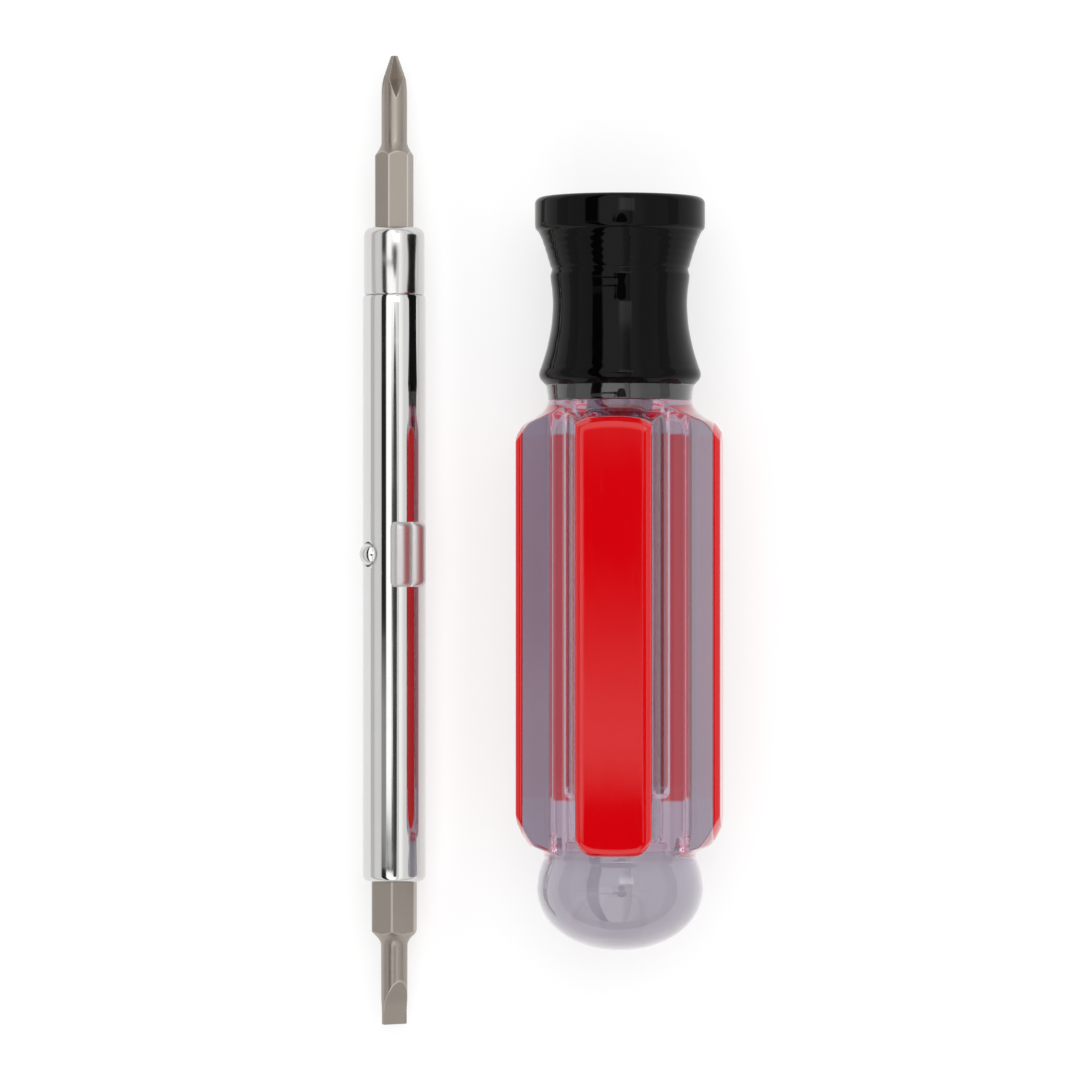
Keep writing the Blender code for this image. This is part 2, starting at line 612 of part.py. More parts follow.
def make_clip(name, corner, height, parent, material):
    """Open ring of spring wire that grips the bit's corners."""
    radius = corner + CLIP_GAP + CLIP_WIRE / 2
    sweep = 2 * math.pi - CLIP_OPENING
    angles = [CLIP_OPENING / 2 + sweep * i / CLIP_STEPS for i in range(CLIP_STEPS + 1)]
    points = [(radius * math.sin(a), radius * math.cos(a), height) for a in angles]
    return wire(name, points, CLIP_WIRE, parent, material)


def stem_cutter(name, key_axis):
    """Pocket for the stem of the drive key, from inside the plug out through the tube."""
    half = KEY_STEM_WIDTH / 2 + PRESS_GAP
    length = KEY_STEM_LENGTH / 2 + PRESS_GAP
    high = (TUBE_RADIUS + OVERCUT, half, length)
    return block(name, (KEY_SLOT_FLOOR, -half, -length), high, key_axis)


def make_plug(parent, key_axis, ball_axis, material):
    """Round plug at the middle of the tube. The key's stem pins it, and it holds ball and spring."""
    half = PLUG_LENGTH / 2
    outline = [(0, half), (PLUG_RADIUS - PLUG_CHAMFER, half), (PLUG_RADIUS, half - PLUG_CHAMFER)]
    outline += [(radius, -height) for radius, height in reversed(outline)]
    plug = turned("centre_plug", outline, parent, material)
    combine(plug, stem_cutter("plug_slot_cutter", key_axis), "DIFFERENCE")
    outline = [(0, TUBE_RADIUS), (WELL_RADIUS, TUBE_RADIUS), (WELL_RADIUS, -WELL_DEPTH), (0, -WELL_DEPTH)]
    combine(plug, turned("spring_well_cutter", outline, ball_axis, steps=SMALL_TURN_STEPS), "DIFFERENCE")
    return plug


def key_ring(height):
    """Section of the key's saddle at one height along the shaft: two rounded ridges on a hollow foot."""
    short = max(1 - (KEY_LENGTH / 2 - abs(height)) / KEY_END_ROUND, 0)
    fullness = 1 - KEY_END_FALL * short**2
    half = KEY_WIDTH / 2 - KEY_END_ROUND / 2 * (1 - fullness)
    edge = math.sqrt(KEY_FOOT**2 - half**2) + KEY_EDGE_HEIGHT
    upper = []
    for i in range(-KEY_STEPS, KEY_STEPS + 1):
        across = half * i / KEY_STEPS
        beyond = abs(across) - KEY_RIDGE_OFFSET
        reach, low = (half - KEY_RIDGE_OFFSET, edge) if beyond > 0 else (KEY_RIDGE_OFFSET, KEY_FLOOR)
        rise = math.sqrt(max(1 - (beyond / reach) ** 2, 0))
        ground = math.sqrt(KEY_FOOT**2 - across**2)
        top = low + (KEY_CREST - low) * rise
        upper.append((ground + (top - ground) * fullness, across, height))
    lower = []
    for i in range(-ARC_STEPS, ARC_STEPS + 1):
        across = -half * i / ARC_STEPS
        lower.append((math.sqrt(KEY_FOOT**2 - across**2), across, height))
    return upper + lower


def make_key(key_axis, material):
    """Drive key: a double-ridged saddle on the tube, with a stem staked into the plug."""
    end = KEY_LENGTH / 2
    nearer = [end, end - KEY_END_ROUND / 3, end - KEY_END_ROUND]
    heights = [-height for height in nearer] + list(reversed(nearer))
    key = lofted("drive_key", [key_ring(height) for height in heights], key_axis, material)
    half = KEY_STEM_WIDTH / 2
    length = KEY_STEM_LENGTH / 2
    low = (KEY_SLOT_FLOOR + PRESS_GAP, -half, -length)
    stem = block("key_stem", low, (KEY_FOOT + KEY_WEB / 2, half, length), key_axis)
    combine(key, stem, "UNION")
    return key


def make_ball(ball_axis, material):
    """Steel ball that stands proud of the tube."""
    shape = bmesh.new()
    bmesh.ops.create_uvsphere(shape, u_segments=BALL_STEPS, v_segments=BALL_STEPS // 2, radius=BALL_RADIUS)
    ball = placed("detent_ball", mesh_from(shape, "detent_ball"), ball_axis, material)
    ball.location = (0, 0, BALL_CENTRE)
    return ball


def make_spring(ball_axis, material):
    """Small coil spring between the bottom of its well and the back of the ball."""
    low = SPRING_WIRE / 2 + PRESS_GAP - WELL_DEPTH
    touch = BALL_CENTRE - math.sqrt(BALL_RADIUS**2 - SPRING_RADIUS**2)
    high = touch - SPRING_WIRE / 2 - SEAT_GAP
    count = SPRING_CURLS * STEPS_PER_CURL
    points = []
    for i in range(count + 1):
        angle = 2 * math.pi * i / STEPS_PER_CURL
        height = low + (high - low) * i / count
        points.append((SPRING_RADIUS * math.cos(angle), SPRING_RADIUS * math.sin(angle), height))
    gap = least_gap(points, SPRING_WIRE, STEPS_PER_CURL // 2)
    print(f"detent_spring: least gap between curls {gap / MM:.2f} mm")
    return wire("detent_spring", points, SPRING_WIRE, ball_axis, material)


def cross_end(tip, radius):
    """Outline of a cross-point end from its tip inwards, as (radius, height) points."""
    flat = CROSS_TIP_RADIUS - CROSS_TIP_ROUND
    shoulder = tip - CROSS_TIP_ROUND
    return [(0, tip), (flat, tip), (CROSS_TIP_RADIUS, shoulder), (radius, tip - CROSS_POINT_LENGTH)]


def blade_end(tip, radius):
    """Outline of a blade end at its tip, as (radius, height) points. The shank widens from there."""
    return [(0, tip), (radius - BLADE_TIP_NARROWING, tip)]


def flare(radius, core, height):
    """Hollow cone that spreads from a shank to the end of the hex at some height."""
    shares = [i / FLARE_STEPS for i in range(FLARE_STEPS + 1)]
    return [(radius + (core - radius) * s**2, height + FLARE_LENGTH * (1 - s)) for s in shares]


def flute_cutter(name, tip, radius, turn, parent):
    """Wedge that cuts one flute of a cross-point end: deep along the cone, then out through the shank."""
    outer = radius + OVERCUT
    foot = tip - CROSS_POINT_LENGTH
    tip_slope = (CROSS_SHOULDER_WEB - CROSS_WEB) / CROSS_POINT_LENGTH
    exit_slope = (radius - CROSS_SHOULDER_WEB) / (CROSS_FLUTE_LENGTH - CROSS_POINT_LENGTH)
    past = OVERCUT / 2
    valley = [
        (CROSS_WEB - tip_slope * OVERCUT, tip + OVERCUT),
        (CROSS_SHOULDER_WEB, foot),
        (radius + exit_slope * past, tip - CROSS_FLUTE_LENGTH - past),
    ]
    rings = []
    for apex, height in valley:
        half = (outer - apex) * math.tan(CROSS_FLUTE_HALF_ANGLE)
        rings.append([(apex, 0, height), (outer, half, height), (outer, -half, height)])
    axis = empty(f"{name}_axis", rotation=(0, 0, turn), parent=parent)
    return lofted(name, rings, axis)


def grind_cutter(name, tip, radius, turn, parent):
    """Wedge that grinds one face of a blade end: flat at the tip, then out through the shank."""
    outer = radius + OVERCUT
    half = BLADE_THICKNESS / 2
    past = OVERCUT / 2
    slope = (radius - half) / BLADE_GRIND_LENGTH
    face = [
        (half, tip + OVERCUT),
        (half, tip - BLADE_FLAT_LENGTH),
        (radius + slope * past, tip - BLADE_FLAT_LENGTH - BLADE_GRIND_LENGTH - past),
    ]
    rings = []
    for near, height in face:
        corners = ((near, -outer), (outer, -outer), (outer, outer), (near, outer))
        rings.append([(x, y, height) for x, y in corners])
    axis = empty(f"{name}_axis", rotation=(0, 0, turn), parent=parent)
    return lofted(name, rings, axis)


def make_bit(name, axis, flats, hex_length, cross, blade, material):
    """Double-ended bit about its own middle: cross-point end up, blade end down."""
    half = hex_length / 2
    core = flats / 2 - BIT_GAP
    cross_length, cross_radius = cross
    blade_length, blade_radius = blade
    cross_tip = half + cross_length
    blade_tip = half + blade_length
    upper = cross_end(cross_tip, cross_radius) + flare(cross_radius, core, half)
    lower = blade_end(blade_tip, blade_radius) + flare(blade_radius, core, half)
    outline = upper + [(radius, -height) for radius, height in reversed(lower)]
    bit = turned(name, outline, axis, material, steps=SMALL_TURN_STEPS)
    body = prism(f"{name}_hex", hexagon(flats), -half, half, axis)
    corner = flats / 2 * HEX_CORNER
    fall = (corner - core) / 2
    ends = [(0, half), (core, half), (corner + BIT_GAP, half - fall - BIT_GAP / 2)]
    ends += [(radius, -height) for radius, height in reversed(ends)]
    combine(body, turned(f"{name}_hex_chamfer", ends, axis, steps=SMALL_TURN_STEPS), "INTERSECT")
    combine(bit, body, "UNION")
    for i in range(4):
        turn = about(CROSS_FLUTE_TURN) + math.pi / 2 * i
        combine(bit, flute_cutter(f"{name}_flute_{i}", cross_tip, cross_radius, turn, axis), "DIFFERENCE")
    flip = empty(f"{name}_blade_axis", rotation=(math.pi, 0, 0), parent=axis)
    for i in range(2):
        turn = math.pi * i - about(BLADE_TURN)
        combine(bit, grind_cutter(f"{name}_grind_{i}", blade_tip, blade_radius, turn, flip), "DIFFERENCE")
    return bit


def build_handle(clear, black, red):
    """Handle on its own axis, mouth towards +Y."""
    axis = empty("handle_axis", (HANDLE_X, MOUTH_Y, GRIP_REACH), (-math.pi / 2, 0, 0))
    make_handle_body(axis, clear)
    make_collar(axis, black)
    for name, degrees in (("cap_front", 0), ("cap_right", 90), ("cap_back", 180), ("cap_left", 270)):
        make_cap(name, math.radians(degrees), axis, red)


def build_shaft(chrome, steel, spring_steel):
    """Shaft on its own axis, cross-point bit towards +Y."""
    axis = empty("shaft_axis", (SHAFT_X, SHAFT_Y, TUBE_RADIUS), (-math.pi / 2, 0, 0))
    key_axis = empty("key_axis", rotation=(0, 0, about(KEY_TURN)), parent=axis)
    ball_axis = empty("ball_axis", rotation=(0, math.pi / 2, about(BALL_TURN)), parent=axis)
    make_tube(axis, key_axis, ball_axis, chrome)
    make_nose(axis, chrome)
    make_plug(axis, key_axis, ball_axis, steel)
    make_key(key_axis, chrome)
    make_ball(ball_axis, chrome)
    make_spring(ball_axis, spring_steel)
    make_clip("upper_clip", UPPER_CORNER, SHAFT_HALF - CLIP_DEPTH, axis, spring_steel)
    make_clip("lower_clip", LOWER_CORNER, CLIP_DEPTH - SHAFT_HALF, axis, spring_steel)
    upper_middle = SHAFT_HALF - UPPER_SEAT + UPPER_HEX_LENGTH / 2
    upper_axis = empty("upper_bit_axis", (0, 0, upper_middle), (0, 0, UPPER_TURN), axis)
    make_bit(
        "upper_bit",
        upper_axis,
        UPPER_FLATS,
        UPPER_HEX_LENGTH,
        (UPPER_CROSS_LENGTH, UPPER_CROSS_RADIUS),
        (UPPER_BLADE_LENGTH, UPPER_BLADE_RADIUS),
        steel,
    )
    lower_middle = LOWER_SEAT - SHAFT_HALF - LOWER_HEX_LENGTH / 2
    lower_axis = empty("lower_bit_axis", (0, 0, lower_middle), (0, 0, LOWER_TURN), axis)
    make_bit(
        "lower_bit",
        lower_axis,
        LOWER_FLATS,
        LOWER_HEX_LENGTH,
        (LOWER_CROSS_LENGTH, LOWER_CROSS_RADIUS),
        (LOWER_BLADE_LENGTH, LOWER_BLADE_RADIUS),
        steel,
    )


def main():
    """Build the handle and the shaft where they lie."""
    clear_scene()
    clear = finish("clear_plastic", (0.80, 0.78, 0.86), 0.08, alpha=0.35)
    black = finish("black_plastic", (0.012, 0.012, 0.013), 0.12)
    red = finish("red_plastic", (0.66, 0.004, 0.008), 0.15)
    chrome = finish("chrome", (0.82, 0.81, 0.80), 0.06, metallic=1.0)
    steel = finish("satin_steel", (0.30, 0.27, 0.24), 0.42, metallic=1.0)
    spring_steel = finish("spring_steel", (0.45, 0.44, 0.43), 0.3, metallic=1.0)
    build_handle(clear, black, red)
    build_shaft(chrome, steel, spring_steel)


main()
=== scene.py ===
# %% [markdown]
# Multi-bit screwdriver, taken apart: the looks
#
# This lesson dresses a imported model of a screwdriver: a hollow clear handle, and beside it the reversible
# steel shaft that slides into it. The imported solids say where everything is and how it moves. Here each
# piece gets its fine surface and its finish. Lengths in the helpers are in millimetres, and one function
# for the handle and one for the shaft put them into the frame, which is in metres.

# %% Load the frame
import json
import math

import bmesh
import bpy
import numpy as np
from mathutils import Matrix, Vector


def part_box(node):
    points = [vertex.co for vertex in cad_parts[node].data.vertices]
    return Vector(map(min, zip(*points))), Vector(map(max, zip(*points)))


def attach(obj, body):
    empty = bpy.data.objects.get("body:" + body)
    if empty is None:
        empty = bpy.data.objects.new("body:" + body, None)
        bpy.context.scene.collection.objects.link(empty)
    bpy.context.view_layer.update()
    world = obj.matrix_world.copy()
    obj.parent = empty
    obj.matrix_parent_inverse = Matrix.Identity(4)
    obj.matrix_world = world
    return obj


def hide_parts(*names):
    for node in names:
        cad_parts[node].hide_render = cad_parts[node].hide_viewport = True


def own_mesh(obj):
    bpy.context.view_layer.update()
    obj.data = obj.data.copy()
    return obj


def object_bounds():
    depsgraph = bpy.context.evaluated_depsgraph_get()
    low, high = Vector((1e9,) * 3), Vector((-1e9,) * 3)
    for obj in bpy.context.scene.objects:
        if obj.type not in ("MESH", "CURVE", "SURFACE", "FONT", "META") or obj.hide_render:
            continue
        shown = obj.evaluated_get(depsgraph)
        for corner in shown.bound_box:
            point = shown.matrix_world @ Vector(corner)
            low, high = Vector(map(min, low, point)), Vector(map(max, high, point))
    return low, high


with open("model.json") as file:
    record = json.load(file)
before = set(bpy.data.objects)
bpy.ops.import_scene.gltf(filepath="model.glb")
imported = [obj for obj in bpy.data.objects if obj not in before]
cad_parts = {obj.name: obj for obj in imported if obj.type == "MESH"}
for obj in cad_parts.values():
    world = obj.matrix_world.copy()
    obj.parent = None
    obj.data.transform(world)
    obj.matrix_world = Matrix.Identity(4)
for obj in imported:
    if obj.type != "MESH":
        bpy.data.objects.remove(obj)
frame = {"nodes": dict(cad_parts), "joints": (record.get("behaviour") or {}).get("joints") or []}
CAD_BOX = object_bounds()
MM = 0.001

# %% [markdown]
# Where the two axes lie
#
# A turned piece is easiest to draw about its own axis. The boxes of three solids give both axes: the collar
# is round about the handle's axis and ends at the mouth, the tube is round about the shaft's axis, and the
# nose ends it. An angle is always measured from straight up towards +X.

# %% Axes of the handle and the shaft
collar_low, collar_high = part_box("collar")
tube_low, tube_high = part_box("shaft_tube")
nose_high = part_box("nose_bush")[1]
collar_middle = (collar_low + collar_high) / 2
tube_middle = (tube_low + tube_high) / 2
HANDLE_AXIS = Vector((collar_middle.x, collar_high.y, collar_middle.z))
SHAFT_AXIS = Vector((tube_middle.x, (tube_low.y + nose_high.y) / 2, tube_middle.z))
SHAFT_HALF = (nose_high.y - tube_low.y) / 2 / MM


def on_handle(across, up, depth):
    """A point of the handle: across and up from its axis, and depth below its mouth."""
    return HANDLE_AXIS + Vector((across, -depth, up)) * MM


def on_shaft(across, up, along):
    """A point of the shaft: across and up from its axis, and along it from its middle."""
    return SHAFT_AXIS + Vector((across, along, up)) * MM


def about_axis(across, up, turn):
    """Turn a place in a section about the axis."""
    return across * math.cos(turn) + up * math.sin(turn), up * math.cos(turn) - across * math.sin(turn)


print("handle axis", HANDLE_AXIS, "shaft axis", SHAFT_AXIS, "half length", round(SHAFT_HALF, 2))

# %% [markdown]
# Writing node trees as sums
#
# Shader and geometry trees are easier to read as arithmetic than as boxes and wires. A Value wraps one
# output socket. Adding, multiplying or dividing Values adds the Math nodes for it. Every other node comes
# from Sheet.node, which sets a node's own settings first and then its sockets.

# %% Value
class Value:
    """One output socket that can be used in sums."""

    def __init__(self, sheet, socket):
        self.sheet = sheet
        self.socket = socket

    def maths(self, operation, *others):
        """A Math node with this Value as its first input."""
        inputs = dict(enumerate((self, *others)))
        return self.sheet.node("ShaderNodeMath", {"operation": operation}, inputs)

    def __add__(self, other):
        return self.maths("ADD", other)

    __radd__ = __add__

    def __mul__(self, other):
        return self.maths("MULTIPLY", other)

    __rmul__ = __mul__

    def __sub__(self, other):
        return self.maths("SUBTRACT", other)

    def __rsub__(self, other):
        return self * -1 + other

    def __truediv__(self, other):
        return self.maths("DIVIDE", other)

    def __pow__(self, other):
        return self.maths("POWER", other)

    def step(self, low, high):
        """Smooth ramp from 0 at low to 1 at high."""
        settings = {"interpolation_type": "SMOOTHSTEP"}
        return self.sheet.node("ShaderNodeMapRange", settings, {"Value": self, 1: low, 2: high})


print("made the class", Value.__name__)


# %% Sheet
class Sheet:
    """A node tree that is being filled."""

    def __init__(self, tree):
        self.tree = tree

    def node(self, kind, settings=None, inputs=None, output=0):
        """Add a node, set its settings and sockets, and return one of its outputs."""
        made = self.tree.nodes.new(kind)
        for name, value in (settings or {}).items():
            setattr(made, name, value)
        for name, value in (inputs or {}).items():
            if isinstance(value, Value):
                self.tree.links.new(value.socket, made.inputs[name])
            else:
                made.inputs[name].default_value = value
        found = made.outputs[output] if len(made.outputs) else None
        return Value(self, found)

    def mix(self, factor, first, second):
        """Blend two colours."""
        inputs = {0: factor, 6: first, 7: second}
        return self.node("ShaderNodeMix", {"data_type": "RGBA"}, inputs, output=2)

    def noise(self, place, scale, detail=3.0, roughness=0.5):
        """Soft random clouds between 0 and 1."""
        inputs = {"Vector": place, "Scale": scale, "Detail": detail, "Roughness": roughness}
        return self.node("ShaderNodeTexNoise", None, inputs)

    def bump(self, height):
        """A surface normal from a height in metres."""
        return self.node("ShaderNodeBump", None, {"Height": height, "Strength": 1.0, "Distance": 1.0})

    def here(self):
        """Object coordinates."""
        return self.node("ShaderNodeTexCoord", None, None, "Object")

    def place(self, stretch=(1, 1, 1)):
        """Object coordinates, drawn out by a factor along each axis."""
        return self.node("ShaderNodeMapping", None, {"Vector": self.here(), "Scale": stretch})

    def parts(self, vector):
        """The X, Y and Z of a vector."""
        split = self.node("ShaderNodeSeparateXYZ", None, {0: vector})
        return [Value(self, socket) for socket in split.socket.node.outputs]


print("made the class", Sheet.__name__)


# %% Starting a finish
def new_finish(name, constants):
    """An empty material: its sheet, and a Principled shader with the sockets that stay the same all over."""
    material = bpy.data.materials.new(name)
    material.use_nodes = True
    shader = material.node_tree.nodes["Principled BSDF"]
    for socket, value in constants.items():
        shader.inputs[socket].default_value = value
    return material, Sheet(material.node_tree), shader


def connect(sheet, shader, **sockets):
    """Link Values to the shader's sockets, an underscore standing for a space."""
    for name, value in sockets.items():
        sheet.tree.links.new(value.socket, shader.inputs[name.replace("_", " ")])


print("made", new_finish.__name__, "and", connect.__name__)

# %% [markdown]
# Clear plastic
#
# The handle is moulded from clear plastic with a faint lilac cast. What shows inside it, red strips and
# pale streaks, is refraction of the caps, of their painted underside glow and of the bore, so the material
# only has to bend light. The cast is a base colour under full transmission, darker in the grip than in the
# thick butt as painted shade, with hardly visible clouding and polishing scuffs. A coat doubles the
# reflection of the polished skin.

# %% clear_plastic
# The grip's tints are darker than the butt's: painted shade over the plastic's own lilac cast.
SHADED_GRIP_TINTS = ((0.30, 0.25, 0.325, 1), (0.34, 0.285, 0.37, 1))
BUTT_TINTS = ((0.38, 0.355, 0.42, 1), (0.42, 0.395, 0.46, 1))
TINT_CHANGE = (118.0, 124.0)
CLEAR_POLISH = 0.015
CLEAR_SCUFF = 0.05


def make_clear_plastic():
    """Clear plastic tinted by how deep below the mouth it lies, the darker grip tint being painted shade."""
    constants = {"Transmission Weight": 1.0, "IOR": 1.49, "Coat Weight": 1.0, "Coat Roughness": 0.02}
    material, sheet, shader = new_finish("clear_plastic", constants)
    cloud = sheet.noise(sheet.place(), scale=60.0)
    shaded_grip = sheet.mix(cloud, *SHADED_GRIP_TINTS)
    butt = sheet.mix(cloud, *BUTT_TINTS)
    depth = (HANDLE_AXIS.y - sheet.parts(sheet.here())[1]) / MM
    tint = sheet.mix(depth.step(*TINT_CHANGE), shaded_grip, butt)
    scuff = sheet.noise(sheet.place(stretch=(1, 0.2, 1)), scale=900.0).step(low=0.62, high=0.9)
    connect(sheet, shader, Base_Color=tint, Roughness=scuff * CLEAR_SCUFF + CLEAR_POLISH)
    return material


clear_plastic = make_clear_plastic()
print("finish:", clear_plastic.name)

# %% [markdown]
# Black and red gloss
#
# Both are glossy mouldings. The collar is a deep black whose reflections wobble slightly, because its
# surface has shallow waves from the mould. The red has a soft unevenness of colour, and both have a trace
# of orange peel, a very low bump that breaks up a perfect mirror.

# %% black_plastic and red_plastic
GLOSS_POLISH = 0.04
GLOSS_SCUFF = 0.08
PEEL_HEIGHT = 0.000001
DEEP_BLACK = (0.0008, 0.0007, 0.0007, 1)
WARM_BLACK = (0.0014, 0.0012, 0.0011, 1)
DEEP_RED = (0.65, 0.0006, 0.003, 1)
BRIGHT_RED = (0.71, 0.001, 0.0045, 1)


def make_gloss(name, dark, light, specular, wave_height):
    """A glossy moulding from two close colours, with waves of a height in metres."""
    material, sheet, shader = new_finish(name, {"Specular IOR Level": specular, "IOR": 1.5})
    cloud = sheet.noise(sheet.place(stretch=(1, 0.35, 1)), scale=140.0)
    colour = sheet.mix(cloud, dark, light)
    scuff = sheet.noise(sheet.place(stretch=(1, 0.15, 1)), scale=1400.0).step(low=0.55, high=0.9)
    waves = sheet.noise(sheet.place(stretch=(1, 0.3, 1)), scale=170.0, detail=1.0)
    peel = sheet.noise(sheet.place(), scale=2600.0, detail=1.0)
    bump = sheet.bump(waves * wave_height + peel * PEEL_HEIGHT)
    connect(sheet, shader, Base_Color=colour, Roughness=scuff * GLOSS_SCUFF + GLOSS_POLISH, Normal=bump)
    return material


black_plastic = make_gloss("black_plastic", DEEP_BLACK, WARM_BLACK, specular=0.12, wave_height=0.00006)
red_plastic = make_gloss("red_plastic", DEEP_RED, BRIGHT_RED, specular=0.5, wave_height=0.00002)
print("finishes:", black_plastic.name, red_plastic.name)

# %% [markdown]
# Bright plating and satin steel
#
# The shaft is plated and polished lengthwise, so its reflections carry faint streaks along Y and a few
# duller patches. The bits are grit-blasted steel: warm grey, evenly dull, with a fine grain. The springs
# inside are drawn wire, shinier than the bits. Where a mesh carries the wear attribute, the metal is
# rubbed: the edges of the bits go pale, partly from wear and partly as a painted highlight, and the nose
# and the drive key lose their mirror finish.

# %% chrome, satin_steel and spring_steel
PATCH_SHARE = 0.6
WEAR_AND_HIGHLIGHT_SHARE = 0.8


def make_metal(name, dark, light, rubbed_and_lit, polish, grain, grain_height, stretch=(1, 1, 1)):
    """A metal from its two colours and its rubbed colour, which on the bits' edges is also a painted
    highlight, low, high and rubbed roughness, and its grain.
    """
    material, sheet, shader = new_finish(name, {"Metallic": 1.0})
    patch = sheet.noise(sheet.place(), scale=120.0, detail=4.0)
    fine = sheet.noise(sheet.place(stretch), scale=grain, roughness=0.6)
    colour = sheet.mix(patch * PATCH_SHARE + fine * (1 - PATCH_SHARE), (*dark, 1), (*light, 1))
    # Where the wear attribute is, the colour moves to the rubbed colour: wear on the nose and key, and on
    # the bits' edges partly wear and partly a painted highlight.
    wear_and_highlight = sheet.node("ShaderNodeAttribute", {"attribute_name": "wear_and_highlight"}, None, "Fac")
    colour = sheet.mix(wear_and_highlight * WEAR_AND_HIGHLIGHT_SHARE, colour, (*rubbed_and_lit, 1))
    low, high, matt = polish
    dull_patch = patch.step(low=0.45, high=0.75)
    dull_grain = fine.step(low=0.4, high=0.8)
    dull = dull_patch * PATCH_SHARE + dull_grain * (1 - PATCH_SHARE)
    polished = dull * (high - low) + low
    rough = polished + (matt - polished) * wear_and_highlight
    connect(sheet, shader, Base_Color=colour, Roughness=rough, Normal=sheet.bump(fine * grain_height))
    return material


chrome = make_metal(
    "chrome",
    dark=(0.63, 0.625, 0.61),
    light=(0.71, 0.705, 0.69),
    rubbed_and_lit=(0.62, 0.60, 0.60),
    polish=(0.05, 0.13, 0.40),
    grain=1500.0,
    grain_height=0.0000006,
    stretch=(1, 0.03, 1),
)
satin_steel = make_metal(
    "satin_steel",
    dark=(0.29, 0.255, 0.22),
    light=(0.39, 0.35, 0.31),
    # This rubbed colour is far paler than the steel: on the bits' edges it is partly wear and partly a
    # painted highlight.
    rubbed_and_lit=(0.62, 0.58, 0.53),
    polish=(0.30, 0.44, 0.30),
    grain=5200.0,
    grain_height=0.000006,
)
spring_steel = make_metal(
    "spring_steel",
    dark=(0.36, 0.35, 0.34),
    light=(0.5, 0.49, 0.48),
    rubbed_and_lit=(0.6, 0.59, 0.58),
    polish=(0.22, 0.36, 0.22),
    grain=3000.0,
    grain_height=0.000002,
)
print("finishes:", chrome.name, satin_steel.name, spring_steel.name)

# %% [markdown]
# Skins of rings
#
# Nearly every piece here is round in some way, so one helper does most of the modelling: it joins rings of
# points with quads. Rings may be circles, hexagons or lobed outlines, as long as they have the same number
# of points. A smooth line through a few stations gives a turned outline, and a soft minimum rounds the
# edge where two surfaces meet, the way a fillet does.

# %% Rings
SAME_POINT = 0.002 * MM


def mesh_of(shape, name, sharp=32):
    """Merge doubles, point faces outwards, shade smooth with crisp edges, and return the mesh."""
    bmesh.ops.remove_doubles(shape, verts=shape.verts, dist=SAME_POINT)
    bmesh.ops.recalc_face_normals(shape, faces=shape.faces)
    mesh = bpy.data.meshes.new(name)
    shape.to_mesh(mesh)
    shape.free()
    mesh.shade_smooth()
    mesh.set_sharp_from_angle(angle=math.radians(sharp))
    return mesh


def join_loops(shape, lower, upper):
    """Quads between two loops of corners."""
    for i in range(len(lower)):
        j = (i + 1) % len(lower)
        shape.faces.new((lower[i], lower[j], upper[j], upper[i]))


def join_rings(shape, rings, closed=False):
    """Quads between each ring and the next. Closed joins the last to the first, or else ends are filled."""
    loops = [[shape.verts.new(point) for point in ring] for ring in rings]
    for lower, upper in zip(loops, loops[1:]):
        join_loops(shape, lower, upper)
    if closed:
        join_loops(shape, loops[-1], loops[0])
    else:
        shape.faces.new(reversed(loops[0]))
        shape.faces.new(loops[-1])


def ring_at(place, radii, angles, along):
    """One ring of points at angles, from one radius or from one for each angle."""
    radii = np.broadcast_to(radii, angles.shape)
    return [place(r * math.sin(a), r * math.cos(a), along) for r, a in zip(radii, angles)]


def circle_angles(count):
    """Even angles around a circle."""
    return np.arange(count) * 2 * math.pi / count


def finish_piece(name, mesh, material, body, slot, *nodes):
    """Put a finished mesh into the scene in place of its solids."""
    mesh.materials.clear()
    mesh.materials.append(material)
    piece = bpy.data.objects.new(name, mesh)
    bpy.context.scene.collection.objects.link(piece)
    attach(piece, body)
    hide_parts(*nodes)
    print(f"{name}: {len(mesh.polygons)} faces, stands for {', '.join(nodes)}")
    return piece


print("points closer than", SAME_POINT, "m are merged")


# %% Outlines
def smooth_line(stations, spacing):
    """Radius and place along a line through (radius, place) stations, with no overshoot."""
    radii, places = np.array(stations, float).T
    rises = np.diff(radii) / np.diff(places)
    slopes = np.zeros_like(radii)
    slopes[0], slopes[-1] = rises[0], rises[-1]
    for i in range(1, len(radii) - 1):
        if rises[i - 1] * rises[i] > 0:
            slopes[i] = 2 * rises[i - 1] * rises[i] / (rises[i - 1] + rises[i])
    line = []
    for i in range(len(rises)):
        span = places[i + 1] - places[i]
        count = max(1, math.ceil(abs(span) / spacing))
        for t in np.arange(count) / count:
            near = (1 + 2 * t) * (1 - t) ** 2 * radii[i] + t * (1 - t) ** 2 * span * slopes[i]
            far = t * t * (3 - 2 * t) * radii[i + 1] + t * t * (t - 1) * span * slopes[i + 1]
            line.append((near + far, places[i] + t * span))
    return line + [(radii[-1], places[-1])]


def quarter_round(centre, radius, start, end, steps=8):
    """Points on an arc, angles in degrees from +radius towards +place."""
    angles = np.radians(np.linspace(start, end, steps + 1))
    return [(centre[0] + radius * math.cos(a), centre[1] + radius * math.sin(a)) for a in angles]


def soft_min(a, b, width):
    """The lesser of two, rounded off over a width where they are close."""
    blend = np.clip(0.5 + 0.5 * (b - a) / width, 0, 1)
    return b + (a - b) * blend - width * blend * (1 - blend)


def soft_max(a, b, width):
    """The greater of two, rounded off in the same way."""
    return -soft_min(-a, -b, width)


print("soft minimum of 1 and 1 over 0.4:", soft_min(1.0, 1.0, 0.4))

